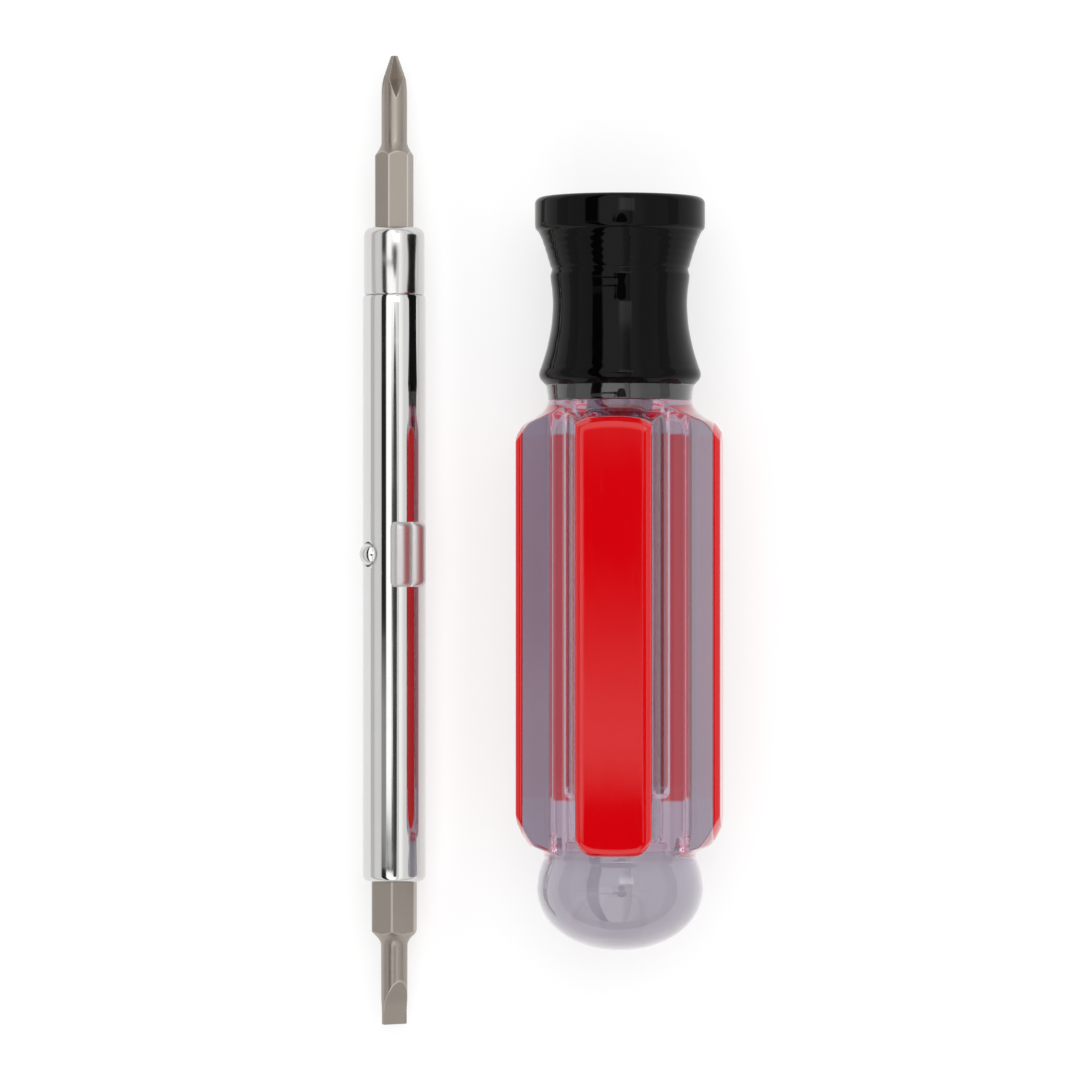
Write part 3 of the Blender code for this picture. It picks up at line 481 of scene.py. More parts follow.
# %% [markdown]
# The clear grip
#
# Across the grip the section is a round core with four flat-topped lobes. Along it, the lobes are cut by a
# turned outline: a swept shoulder above, a rounded heel below, then a short neck and the round butt. The
# radius at any angle and depth is the lesser of the two, rounded a little where they meet. Inside is the
# bore for the shaft, open at the mouth, with its keyway. A solid clear body with an open bore is what makes
# the strips and streaks that show between the lobes.

# %% Section of the grip
CORE_RADIUS = 13.8
GRIP_REACH = 18.63
CAP_SEAT = GRIP_REACH - 1.3
SEAT_HALF = 6.95
FLANK_LEAN = 0.235
ROOT_FILLET = 1.7
FLAT_COLUMNS = 14
FLANK_COLUMNS = 44


def from_lobe(angle):
    """Angle from the middle of the nearest lobe."""
    return np.abs((angle + math.pi / 4) % (math.pi / 2) - math.pi / 4)


def lobe_radius(angle):
    """Distance from the axis to the lobed section at an angle."""
    folded = from_lobe(angle)
    top = CAP_SEAT / np.cos(folded)
    flank = (SEAT_HALF + FLANK_LEAN * CAP_SEAT) / (np.sin(folded) + FLANK_LEAN * np.cos(folded))
    return soft_max(np.minimum(top, flank), CORE_RADIUS, ROOT_FILLET)


def grip_angles():
    """Angles around the grip, closest together on the flanks of the lobes."""
    flat = math.atan2(SEAT_HALF, CAP_SEAT)
    on_flat = np.linspace(0, flat, FLAT_COLUMNS, endpoint=False)
    half = np.concatenate([on_flat, np.linspace(flat, math.pi / 4, FLANK_COLUMNS)[:-1]])
    lobe = np.concatenate([-half[:0:-1], half, [math.pi / 4]])
    return np.concatenate([lobe + math.pi / 2 * i for i in range(4)])


print("columns around the grip:", len(grip_angles()))

# %% Ends of the lobes
BEYOND = 20.35  # a radius outside the corners of the lobes
NECK_FOOT = [(13.2, 37.2), (13.4, 37.95), (14.1, 39.05)]
SHOULDER = NECK_FOOT + [(15.6, 40.15), (17.33, 41.2), (18.6, 42.9), (BEYOND, 46.0)]
HEEL = [
    (BEYOND, 110.0),
    (19.5, 112.8),
    (18.55, 114.9),
    (17.44, 117.1),
    (16.64, 118.2),
    (15.3, 118.9),
    (14.47, 119.3),
    (13.95, 119.75),
]
FRONT_SHOULDER = NECK_FOOT + [(15.6, 39.85), (17.4, 40.4), (18.63, 41.3), (19.45, 41.95), (BEYOND, 43.2)]
FRONT_HEEL = [
    (BEYOND, 117.4),
    (19.4, 118.3),
    (18.63, 118.8),
    (17.4, 119.35),
    (15.6, 119.55),
    (13.95, 119.75),
]
CORNER_START = 4.2
CORNER_REACH = 2.7
CORNER_LIMIT = 1.06
CORNER_TOP = 0.5
CORNER_FOOT = 2.3
LIMIT_STEP = 0.05
SIDE_TOP, SIDE_FOOT, FRONT_TOP, FRONT_FOOT = [
    np.array(smooth_line(stations, LIMIT_STEP)) for stations in (SHOULDER, HEEL, FRONT_SHOULDER, FRONT_HEEL)
]


def corner_round(across):
    """How far the plan of a front cap is rounded off at a distance from its middle line, from 0 to 1."""
    return np.clip((np.abs(across) - CORNER_START) / CORNER_REACH, 0, CORNER_LIMIT) ** 2


def end_limit(top, foot, depth, corner=0.0):
    """Radius that the ends of a lobe allow at a depth, with its corners rounded off."""
    above = np.interp(depth - corner * CORNER_TOP, top[:, 1], top[:, 0])
    below = np.interp(depth + corner * CORNER_FOOT, foot[:, 1], foot[:, 0])
    return np.minimum(above, below)


print("rows for the ends of a side lobe:", len(SIDE_TOP) + len(SIDE_FOOT))

# %% Outline of the grip and the butt
LOBES_FROM = NECK_FOOT[0][1] + 0.01
LOBES_TO = 119.7
STRAIGHT = (46.5, 109.5)
BUTT_RADIUS = 15.2
BUTT_WIDEST = 125.9
BUTT_END = 137.4
BUTT_FULLNESS = 2.1
BUTT_ROWS = 44
BUTT_NECK = [(13.93, 120.3), (14.3, 121.5), (14.94, 123.7), (BUTT_RADIUS, BUTT_WIDEST)]
GROOVE_DEPTH = 121.0  # a fine moulded line around the butt's neck
GROOVE_HALF = 0.12
GROOVE_SINK = 0.05
OUTLINE_STEP = 0.22
STRAIGHT_STEP = 7.0


def grip_outline():
    """Turned outline from the seam under the collar to the end of the butt, as (radius, depth)."""
    line = smooth_line(SHOULDER, OUTLINE_STEP)
    line += smooth_line([(BEYOND, depth) for depth in STRAIGHT], STRAIGHT_STEP)
    for radius, depth in smooth_line(HEEL + BUTT_NECK, OUTLINE_STEP):
        groove = GROOVE_SINK * math.exp(-(((depth - GROOVE_DEPTH) / GROOVE_HALF) ** 2))
        line.append((radius - groove, depth))
    for t in np.linspace(0, math.pi / 2, BUTT_ROWS)[1:-1]:
        drop = math.sin(t)
        radius = BUTT_RADIUS * (1 - drop**BUTT_FULLNESS) ** (1 / BUTT_FULLNESS)
        line.append((radius, BUTT_WIDEST + drop * (BUTT_END - BUTT_WIDEST)))
    return line


print("rows along the grip:", len(grip_outline()))

# %% Socket, neck and skin of the grip
GRIP_TOP = 34.3
NECK = [(13.62, GRIP_TOP), (13.4, 35.1), (13.26, 36.2), (13.2, 37.0), (13.1, 37.1)]
NECK_STEP = 0.3
SPIGOT_RADIUS = 9.75
SPIGOT_TOP = 3.3
TONGUE_RADIUS = 11.2
TONGUE_END = 36.9
SOCKET_RADIUS = 6.1
SOCKET_DEPTH = 109.6
SOCKET_END_ROUND = 2.5
KEYWAY_HALF = 3.8
KEYWAY_REACH = 7.15
KEYWAY_DEPTH = 21.3
KEYWAY_STEP = 0.05
POLE_RADIUS = 0.2
EDGE_ROUND = 0.3
FRONT_BLEND = 0.12
TINY = 1e-6


def keyway_radius(angle):
    """Radius of the socket with its keyway at the top."""
    to_roof = KEYWAY_REACH / np.maximum(np.cos(angle), TINY)
    to_side = KEYWAY_HALF / np.maximum(np.abs(np.sin(angle)), TINY)
    slot = np.maximum(np.minimum(to_roof, to_side), SOCKET_RADIUS)
    return np.where(np.cos(angle) > 0, slot, SOCKET_RADIUS)


def make_grip():
    """One skin: up the bore, over the spigot and the neck, and down the outside to the butt."""
    angles = grip_angles()
    lobes = lobe_radius(angles)
    keyed = keyway_radius(angles)
    end_centre = (SOCKET_RADIUS - SOCKET_END_ROUND, SOCKET_DEPTH - SOCKET_END_ROUND)
    line = [(POLE_RADIUS, SOCKET_DEPTH)] + quarter_round(end_centre, SOCKET_END_ROUND, 90, 0, 10)
    line += [(SOCKET_RADIUS, KEYWAY_DEPTH + KEYWAY_STEP), (keyed, KEYWAY_DEPTH), (keyed, SPIGOT_TOP)]
    line += [(SPIGOT_RADIUS, SPIGOT_TOP), (SPIGOT_RADIUS, TONGUE_END)]
    line += [(TONGUE_RADIUS, TONGUE_END), (TONGUE_RADIUS, GRIP_TOP)]
    line += smooth_line(NECK, NECK_STEP)
    corner = corner_round(lobes * np.sin(from_lobe(angles)))
    facing = np.clip((np.abs(np.cos(angles)) - np.abs(np.sin(angles))) / FRONT_BLEND, 0, 1)
    for radius, depth in grip_outline():
        if LOBES_FROM <= depth <= LOBES_TO:
            front = end_limit(FRONT_TOP, FRONT_FOOT, depth, corner)
            limit = facing * front + (1 - facing) * end_limit(SIDE_TOP, SIDE_FOOT, depth)
            radius = soft_min(lobes, limit, EDGE_ROUND)
        line.append((radius, depth))
    line.append((POLE_RADIUS, BUTT_END))
    shape = bmesh.new()
    join_rings(shape, [ring_at(on_handle, radii, angles, depth) for radii, depth in line])
    return mesh_of(shape, "grip_clear", sharp=40)


finish_piece("grip_clear", make_grip(), clear_plastic, "handle", "clear_plastic", "handle_body")

# %% [markdown]
# Four red caps
#
# A red layer lies on the flat of each lobe: a slab with rounded long edges whose ends follow the same
# shoulder and heel as the clear plastic under it. The front cap has rounded corners and is a little longer
# than a side cap, so two are modelled, and a geometry tree turns copies of the pair about the handle's
# axis. A cap sinks a hair into the clear body, so that light goes from plastic to plastic with no air
# between. Its underside is only seen through the body. It carries a painted glow standing in for light
# caught
# in there: painted red glow along the bore, and painted pale glow and colour at the shoulder and beyond the
# bore's end.

# %% A front cap and a side cap
CAP_SINK = 0.08
UNDERSIDE = CAP_SEAT - CAP_SINK
CAP_EDGE = 1.1
CAP_HALF = 6.88
CAP_CREASE = 0.12
CAP_LIP_IN = 0.05
CAP_LIP_UP = 0.02
CAP_STRAIGHT_STEPS = 26
CAP_SLOPE_STEPS = 12
CAP_ROUND_STEPS = 12
CAP_FLAT_STEPS = 16


def cap_section():
    """Half-turn of the cap's outline as (up, across): foot, lip, rounded edge, flat top, and back."""
    flat_half = CAP_HALF - CAP_EDGE
    side = [(UNDERSIDE, CAP_HALF - CAP_LIP_IN), (CAP_SEAT + CAP_LIP_UP, CAP_HALF)]
    edge = quarter_round((flat_half, GRIP_REACH - CAP_EDGE), CAP_EDGE, 0, 90, CAP_ROUND_STEPS)
    side += [(up, across) for across, up in edge]
    flat = [(GRIP_REACH, v) for v in np.linspace(flat_half, -flat_half, CAP_FLAT_STEPS + 1)[1:-1]]
    return side + flat + [(up, -across) for up, across in reversed(side)]


def cap_lines(top, foot, rounded):
    """Lines along the handle, one for each point of the section, ended on the lobe's own ends."""
    lines = []
    for up, across in cap_section():
        corner = corner_round(across) * rounded
        climb = np.hypot(np.linspace(UNDERSIDE, up, CAP_SLOPE_STEPS + 1), across)
        upper = np.interp(climb, top[:, 0], top[:, 1]) + corner * CORNER_TOP
        lower = np.interp(climb, foot[::-1, 0], foot[::-1, 1]) - corner * CORNER_FOOT
        ease = (1 - np.cos(np.linspace(0, math.pi, CAP_STRAIGHT_STEPS))) / 2
        middle = upper[-1] + (lower[-1] - upper[-1]) * ease[1:-1]
        depths = np.concatenate([upper, middle, lower[::-1]])
        reach = np.sqrt(np.maximum(end_limit(top, foot, depths, corner) ** 2 - across**2, 0))
        ups = np.maximum(soft_min(up, reach, CAP_CREASE), UNDERSIDE)
        ups[0] = ups[-1] = UNDERSIDE
        lines.append([(across, u, d) for u, d in zip(ups, depths)])
    return lines


def add_cap(shape, lines, turn):
    """Skin the lines of one cap, turned about the handle's axis."""
    grid = []
    for line in lines:
        points = [on_handle(*about_axis(across, up, turn), depth) for across, up, depth in line]
        grid.append([shape.verts.new(point) for point in points])
    for left, right in zip(grid, grid[1:]):
        for i in range(len(left) - 1):
            shape.faces.new((left[i], left[i + 1], right[i + 1], right[i]))
    ends = [line[-1] for line in grid[1:-1]] + list(reversed(grid[-1]))
    starts = [line[0] for line in reversed(grid[1:-1])]
    shape.faces.new(grid[0] + ends + starts)


def make_caps():
    """The front cap and the right one."""
    shape = bmesh.new()
    add_cap(shape, cap_lines(FRONT_TOP, FRONT_FOOT, rounded=1), turn=0)
    add_cap(shape, cap_lines(SIDE_TOP, SIDE_FOOT, rounded=0), turn=math.pi / 2)
    return mesh_of(shape, "two_caps", sharp=50)


two_caps = make_caps()
print("two caps:", len(two_caps.polygons), "faces")


# %% Geometry trees
def new_tree(name, inputs):
    """An empty geometry tree: its sheet, and a Value for each of its named inputs."""
    tree = bpy.data.node_groups.new(name, "GeometryNodeTree")
    tree.interface.new_socket("Geometry", in_out="OUTPUT", socket_type="NodeSocketGeometry")
    for title, kind in inputs.items():
        tree.interface.new_socket(title, in_out="INPUT", socket_type="NodeSocket" + kind)
    sheet = Sheet(tree)
    given = tree.nodes.new("NodeGroupInput")
    return sheet, [Value(sheet, given.outputs[title]) for title in inputs]


def end_tree(sheet, geometry, paint):
    """Turn what a tree made into plain painted geometry, and return the tree."""
    solid = sheet.node("GeometryNodeRealizeInstances", None, {"Geometry": geometry})
    painted = sheet.node("GeometryNodeSetMaterial", None, {"Geometry": solid, "Material": paint})
    sheet.node("NodeGroupOutput", None, {"Geometry": painted})
    return sheet.tree


def run_tree(mesh, tree, values):
    """Evaluate a geometry tree on a mesh, with inputs by name, and return the plain mesh it gives."""
    maker = bpy.data.objects.new("maker", mesh)
    bpy.context.scene.collection.objects.link(maker)
    modifier = maker.modifiers.new("tree", "NODES")
    modifier.node_group = tree
    for item in tree.interface.items_tree:
        if item.in_out == "INPUT" and item.name in values:
            modifier[item.identifier] = values[item.name]
    graph = bpy.context.evaluated_depsgraph_get()
    result = bpy.data.meshes.new_from_object(maker.evaluated_get(graph), depsgraph=graph)
    maker.modifiers.remove(modifier)
    bpy.data.objects.remove(maker, do_unlink=True)
    return result


print("made", new_tree.__name__, end_tree.__name__, "and", run_tree.__name__)


# %% The same pair on the other side
def around_axis_tree():
    """Copies of a mesh turned about the handle's axis."""
    inputs = {"Geometry": "Geometry", "Copies": "Int", "Axis": "Vector", "Finish": "Material"}
    sheet, (shape, copies, axis, paint) = new_tree("around_axis", inputs)
    stand = sheet.node("GeometryNodeMeshLine", None, {"Count": copies, "Offset": (0, 0, 0)})
    number = sheet.node("GeometryNodeInputIndex")
    turn = sheet.node("ShaderNodeCombineXYZ", None, {"Y": number * (2 * math.pi) / copies})
    back = sheet.node("ShaderNodeVectorMath", {"operation": "SCALE"}, {0: axis, "Scale": -1.0})
    centred = sheet.node("GeometryNodeTransform", None, {"Geometry": shape, "Translation": back})
    spread = {"Points": stand, "Instance": centred, "Rotation": turn}
    copied = sheet.node("GeometryNodeInstanceOnPoints", None, spread)
    home = sheet.node("GeometryNodeTransform", None, {"Geometry": copied, "Translation": axis})
    return end_tree(sheet, home, paint)


cap_values = {"Copies": 2, "Axis": tuple(HANDLE_AXIS), "Finish": red_plastic}
caps_mesh = run_tree(two_caps, around_axis_tree(), cap_values)
print("four caps:", len(caps_mesh.polygons), "faces")

# %% Painted glow on the underside of the caps
RED_FROM = 43.0
RED_TO = 110.7
RED_SOFT = 0.3
UNDERSIDE_LIFT = (0.01, 0.05)
# Painted glow of the underside, red along the bore and pale beyond it, and its painted pale colour at the
# ends.
RED_PAINTED_GLOW = (0.42, 0.012, 0.04, 1)
PALE_PAINTED_UNDERSIDE = (0.62, 0.58, 0.64, 1)
PALE_PAINTED_GLOW = (0.36, 0.32, 0.37, 1)


def paint_underside_glow(material):
    """Paint a glow onto the faces that lie on the clear body, standing in for the light caught in it, and
    paint them pale at the ends.
    """
    sheet = Sheet(material.node_tree)
    shader = material.node_tree.nodes["Principled BSDF"]
    outside = Value(sheet, shader.inputs["Base Color"].links[0].from_socket)
    points = {0: sheet.here(), 1: HANDLE_AXIS}
    offset = sheet.node("ShaderNodeVectorMath", {"operation": "SUBTRACT"}, points)
    apart = sheet.node("ShaderNodeVectorMath", {"operation": "ABSOLUTE"}, {0: offset})
    across, depth, up = [part / MM for part in sheet.parts(apart)]
    low, high = [UNDERSIDE + lift for lift in UNDERSIDE_LIFT]
    under = 1 - across.maths("MAXIMUM", up).step(low, high)
    red_on = depth.step(RED_FROM - RED_SOFT, RED_FROM + RED_SOFT)
    red_off = depth.step(RED_TO - RED_SOFT, RED_TO + RED_SOFT)
    ends = 1 - red_on * (1 - red_off)
    # Painted pale colour and painted glow on the underside, chosen by depth along the handle.
    colour = sheet.mix(under * ends, outside, PALE_PAINTED_UNDERSIDE)
    painted_glow = sheet.mix(ends, RED_PAINTED_GLOW, PALE_PAINTED_GLOW)
    connect(sheet, shader, Base_Color=colour, Emission_Color=sheet.mix(under, (0, 0, 0, 1), painted_glow))
    shader.inputs["Emission Strength"].default_value = 1.0


paint_underside_glow(red_plastic)
CAP_NODES = ("cap_front", "cap_right", "cap_back", "cap_left")
finish_piece("red_caps", caps_mesh, red_plastic, "handle", "red_plastic", *CAP_NODES)

# %% [markdown]
# The black collar
#
# A sleeve pressed over the clear neck: a flange with a rounded rim, a taper that carries a few shallow
# rings from the lathe that cut its mould, a bead in a groove, a waist and a bulge. Its end wall carries
# the mouth of the socket with the keyway. At its lower end a tongue sits in a groove of the clear neck, in
# close contact with it, and shows dark through it. The outside is turned, so its outline is a list of
# stations, and the inside is a row of rings that change from round to keyed.

# %% Collar
FLANGE_RADIUS = 15.56
FLANGE_EDGE = 1.2
COLLAR_OUTLINE = [
    (FLANGE_RADIUS, 4.85),
    (15.5, 5.5),
    (15.28, 5.95),
    (14.95, 6.3),
    (14.72, 6.7),
    (14.22, 7.8),
    (13.14, 11.1),
    (12.66, 12.7),
    (12.47, 13.1),
    (12.53, 13.5),
    (12.72, 14.3),
    (12.41, 17.1),
    (12.29, 19.3),
    (12.46, 22.6),
    (13.24, 27.0),
    (14.36, 30.8),
    (14.74, 31.9),
    (14.8, 32.4),
    (14.66, 33.0),
    (13.9, 33.95),
    (13.6, 34.25),
]
COLLAR_STEP = 0.15
COLLAR_COLUMNS = 256
RIPPLE = 0.02
RIPPLE_SPACING = 1.35
TAPER = (7.0, 12.4)
SLEEVE_BORE = SPIGOT_RADIUS + 0.15
END_WALL = 3.0
MOUTH_EDGE = 0.35
TONGUE_SINK = 0.03


def make_collar():
    """One closed skin: down the outside, around the tongue, and up the inside to the mouth."""
    angles = circle_angles(COLLAR_COLUMNS)
    keyed = keyway_radius(angles)
    outline = quarter_round((FLANGE_RADIUS - FLANGE_EDGE, FLANGE_EDGE), FLANGE_EDGE, -90, 0, 10)
    for radius, depth in smooth_line(COLLAR_OUTLINE, COLLAR_STEP):
        if TAPER[0] < depth < TAPER[1]:
            radius += RIPPLE * math.sin(2 * math.pi * depth / RIPPLE_SPACING)
        outline.append((radius, depth))
    tongue_radius, tongue_end = TONGUE_RADIUS + TONGUE_SINK, TONGUE_END + TONGUE_SINK
    outline += [(tongue_radius, outline[-1][1]), (tongue_radius, tongue_end)]
    outline += [(SLEEVE_BORE, tongue_end), (SLEEVE_BORE, END_WALL), (keyed, END_WALL)]
    for widen, depth in quarter_round((MOUTH_EDGE, MOUTH_EDGE), MOUTH_EDGE, 180, 270, 4):
        outline.append((keyed + widen, depth))
    shape = bmesh.new()
    join_rings(shape, [ring_at(on_handle, radii, angles, d) for radii, d in outline], closed=True)
    return mesh_of(shape, "collar_sleeve", sharp=40)


finish_piece("collar_sleeve", make_collar(), black_plastic, "handle", "black_plastic", "collar")

# %% [markdown]
# The shaft's tube
#
# A plated tube with a rounded lower rim around a hex pocket, a small bright chamfer at its upper end, and
# one hole at its middle where the detent ball looks out. A hole in a smooth round wall shades badly when it
# is cut by a Boolean, so the grid of the wall leaves out a square patch there, and rings that change from
# the square to the circle fill it. The inner wall gets the same patch, and the hole's wall joins the two.

# %% Wall with a hole
BALL_TURN = math.radians(-54)
PATCH_HALF = 3.9
PATCH_STEPS = 16
ROUND_STEPS = 96


def wall_angles(radius):
    """Angles around a wall, with an even patch about the hole."""
    half = math.asin(PATCH_HALF / radius)
    patch = np.linspace(-half, half, PATCH_STEPS + 1)
    rest = np.linspace(half, 2 * math.pi - half, ROUND_STEPS - PATCH_STEPS + 1)[1:-1]
    return np.concatenate([patch, rest]) + BALL_TURN


def wall_with_hole(shape, radius, before, after, hole_rings):
    """A round wall with rings before and after the patch, and the patch around the hole."""
    angles = wall_angles(radius)
    patch_rows = np.linspace(PATCH_HALF, -PATCH_HALF, PATCH_STEPS + 1) * np.sign(before[-1][1])
    rows = list(before) + [(radius, along) for along in patch_rows] + list(after)
    grid = []
    for r, along in rows:
        radii = r(angles) if callable(r) else r
        grid.append([shape.verts.new(p) for p in ring_at(on_shaft, radii, angles, along)])
    first = len(before)
    for i in range(len(grid) - 1):
        for j in range(len(angles)):
            k = (j + 1) % len(angles)
            in_patch = first <= i < first + PATCH_STEPS and j < PATCH_STEPS
            if not in_patch:
                shape.faces.new((grid[i][j], grid[i][k], grid[i + 1][k], grid[i + 1][j]))
    side = list(range(PATCH_STEPS))
    border = [(first, j) for j in side]
    border += [(first + i, PATCH_STEPS) for i in side]
    border += [(first + PATCH_STEPS, PATCH_STEPS - j) for j in side]
    border += [(first + PATCH_STEPS - i, 0) for i in side]
    loop = [grid[i][j] for i, j in border]
    flat = [(math.sin(angles[j] - BALL_TURN) * radius, rows[i][1]) for i, j in border]
    for share, hole, sink in hole_rings:
        ring = []
        for p, q in flat:
            to_hole = hole / math.hypot(p, q)
            x = p * (1 - share) + p * to_hole * share
            y = q * (1 - share) + q * to_hole * share
            angle = math.asin(x / radius) + BALL_TURN
            ring.append(shape.verts.new(on_shaft(*about_axis(0, radius - sink, angle), y)))
        join_loops(shape, loop, ring)
        loop = ring
    return grid[0], grid[-1], loop


def bridge(shape, first, second):
    """Join two loops of equal count by their nearest points."""
    start = min(range(len(second)), key=lambda i: (second[i].co - first[0].co).length)
    turned = second[start:] + second[:start]
    if (turned[1].co - first[1].co).length > (turned[-1].co - first[1].co).length:
        turned = [turned[0]] + turned[:0:-1]
    join_loops(shape, first, turned)


print("a wall has", ROUND_STEPS, "columns,", PATCH_STEPS, "of them in the patch")

# %% Tube
TUBE_RADIUS = 5.85
TUBE_BORE = 4.3
TUBE_TOP = SHAFT_HALF - 12.6
TUBE_EDGE = 1.2
STEP_CHAMFER = 0.35
CHAMFER_SHARES = ((1, 0), (0.25, 0.55), (0, 1.4))
POCKET_PLAY = 0.3
POCKET_STEP = 0.02
MOUTH_BREAK = 0.2
HEX_CORNER_BREAK = 0.06
LOWER_FLATS = 7.94
LOWER_POCKET_DEPTH = 15.3
LOWER_TURN = math.radians(0.5)
HOLE_RADIUS = 2.3
HOLE_DISH = 0.42
DISH_SINK = 0.16
DISH_CURVE = 0.7
DISH_SHARES = (0.8, 0.55, 0.3, 0.12)
HOLE_WALL = (DISH_SINK + 0.1, 1.0)
PATCH_RINGS = 8
INNER_PATCH_RINGS = 4
PATCH_CLEAR = PATCH_HALF + 6.0
TOP_CLEAR = 1.5
RIM_CLEAR = 3.0


def hexagon_radius(flats, angles, turn):
    """Distance to a hexagon with one corner at a turn, its corners a little rounded."""
    folded = (angles - turn) % (math.pi / 3) - math.pi / 6
    corner = flats / 2 / math.cos(math.pi / 6) - HEX_CORNER_BREAK
    return np.minimum(flats / 2 / np.cos(folded), corner)


def make_tube():
    """The outer and the inner wall, joined at both ends and in the hole."""
    shape = bmesh.new()
    rim = quarter_round((TUBE_RADIUS - TUBE_EDGE, TUBE_EDGE - SHAFT_HALF), TUBE_EDGE, 0, -90, 12)
    above = [(TUBE_RADIUS - STEP_CHAMFER * a, TUBE_TOP - STEP_CHAMFER * b) for a, b in CHAMFER_SHARES]
    above += [(TUBE_RADIUS, TUBE_TOP - TOP_CLEAR), (TUBE_RADIUS, PATCH_CLEAR)]
    below = [(TUBE_RADIUS, -PATCH_CLEAR), (TUBE_RADIUS, RIM_CLEAR - SHAFT_HALF)] + rim
    spread = [(i / PATCH_RINGS, HOLE_RADIUS + HOLE_DISH, 0) for i in range(1, PATCH_RINGS + 1)]
    dish = [(1, HOLE_RADIUS + HOLE_DISH * s, DISH_SINK * (1 - s) ** DISH_CURVE) for s in DISH_SHARES]
    wall = [(1, HOLE_RADIUS, sink) for sink in HOLE_WALL]
    top, foot, hole = wall_with_hole(shape, TUBE_RADIUS, above, below, spread + dish + wall)
    pocket_floor = LOWER_POCKET_DEPTH - SHAFT_HALF

    def pocket(widen):
        """Rule for the radii of the hex pocket."""
        flats = LOWER_FLATS + POCKET_PLAY + widen
        return lambda angles: hexagon_radius(flats, angles, LOWER_TURN)

    inner_below = [
        (pocket(MOUTH_BREAK), -SHAFT_HALF),
        (pocket(0), MOUTH_BREAK - SHAFT_HALF),
        (pocket(0), pocket_floor),
        (TUBE_BORE, pocket_floor + POCKET_STEP),
        (TUBE_BORE, -PATCH_CLEAR),
    ]
    inner_above = [(TUBE_BORE, PATCH_CLEAR), (TUBE_BORE, TUBE_TOP)]
    inner_spread = [(i / INNER_PATCH_RINGS, HOLE_RADIUS, 0) for i in range(1, INNER_PATCH_RINGS + 1)]
    inner = wall_with_hole(shape, TUBE_BORE, inner_below, inner_above, inner_spread)
    for outer_loop, inner_loop in zip((hole, foot, top), (inner[2], inner[0], inner[1])):
        bridge(shape, outer_loop, inner_loop)
    return mesh_of(shape, "shaft_barrel")


finish_piece("shaft_barrel", make_tube(), chrome, "shaft", "chrome", "shaft_tube")

# %% [markdown]
# Nose, drive key and ball
#
# The nose is a hex bush, a hair thinner than the tube, with a well rounded end. The key is a saddle with
# two ridges that keeps the shaft from turning in the handle. The ball clicks into the handle's wall. All
# three are plated like the tube, and use has rubbed the nose a little and the key all over.

# %% Nose
NOSE_RADIUS = 5.65
NOSE_EDGE = 1.6
NOSE_SPIGOT_RADIUS = 4.15
NOSE_SPIGOT_END = TUBE_TOP - 10.0
NOSE_STOP_RADIUS = 3.35
UPPER_FLATS = 6.35
UPPER_POCKET_DEPTH = 12.0
UPPER_TURN = math.radians(-10.5)
NOSE_SEAT = TUBE_TOP + 0.12
NOSE_BREAK = 0.15
NOSE_BREAK_LENGTH = 0.25
NOSE_COLUMNS = 240
NOSE_RUB = 0.3


def make_nose():
    """One closed skin: down the outside to the spigot, and up the hex pocket."""
    angles = circle_angles(NOSE_COLUMNS)
    pocket = hexagon_radius(UPPER_FLATS + POCKET_PLAY, angles, UPPER_TURN)
    pocket_floor = SHAFT_HALF - UPPER_POCKET_DEPTH
    line = quarter_round((NOSE_RADIUS - NOSE_EDGE, SHAFT_HALF - NOSE_EDGE), NOSE_EDGE, 90, 0, 14)
    line += [(NOSE_RADIUS, NOSE_SEAT + NOSE_BREAK_LENGTH), (NOSE_RADIUS - NOSE_BREAK, NOSE_SEAT)]
    line += [(NOSE_SPIGOT_RADIUS, NOSE_SEAT), (NOSE_SPIGOT_RADIUS, NOSE_SPIGOT_END)]
    line += [(NOSE_STOP_RADIUS, NOSE_SPIGOT_END), (NOSE_STOP_RADIUS, pocket_floor - POCKET_STEP)]
    line += [(pocket, pocket_floor), (pocket, SHAFT_HALF - MOUTH_BREAK)]
    line.append((pocket + MOUTH_BREAK / 2, SHAFT_HALF))
    shape = bmesh.new()
    join_rings(shape, [ring_at(on_shaft, radii, angles, along) for radii, along in line], closed=True)
    return mesh_of(shape, "hex_nose")


def rub(mesh, amount):
    """Mark a whole mesh as rubbed by use, from 0, bright, to 1, dull."""
    rubbed_and_lit = mesh.attributes.new("wear_and_highlight", "FLOAT", "POINT")
    rubbed_and_lit.data.foreach_set("value", np.full(len(mesh.vertices), amount))
    return mesh


nose_mesh = rub(make_nose(), NOSE_RUB)
finish_piece("hex_nose", nose_mesh, chrome, "shaft", "chrome", "nose_bush")

# %% Drive key
KEY_TURN = math.radians(36)
KEY_LENGTH = 12.0
KEY_WIDTH = 7.0
KEY_FOOT = TUBE_RADIUS + 0.03
KEY_FLOOR = 6.2
KEY_CREST = 6.85
KEY_RIDGE_OFFSET = 1.6
KEY_EDGE_HEIGHT = 0.55
KEY_END_ROUND = 1.3
KEY_END_FALL = 0.55
KEY_END_CURVE = 2.4
KEY_ACROSS_STEPS = 28
KEY_UNDER_STEPS = 16
KEY_END_STEPS = 8
KEY_RUB = 1.0


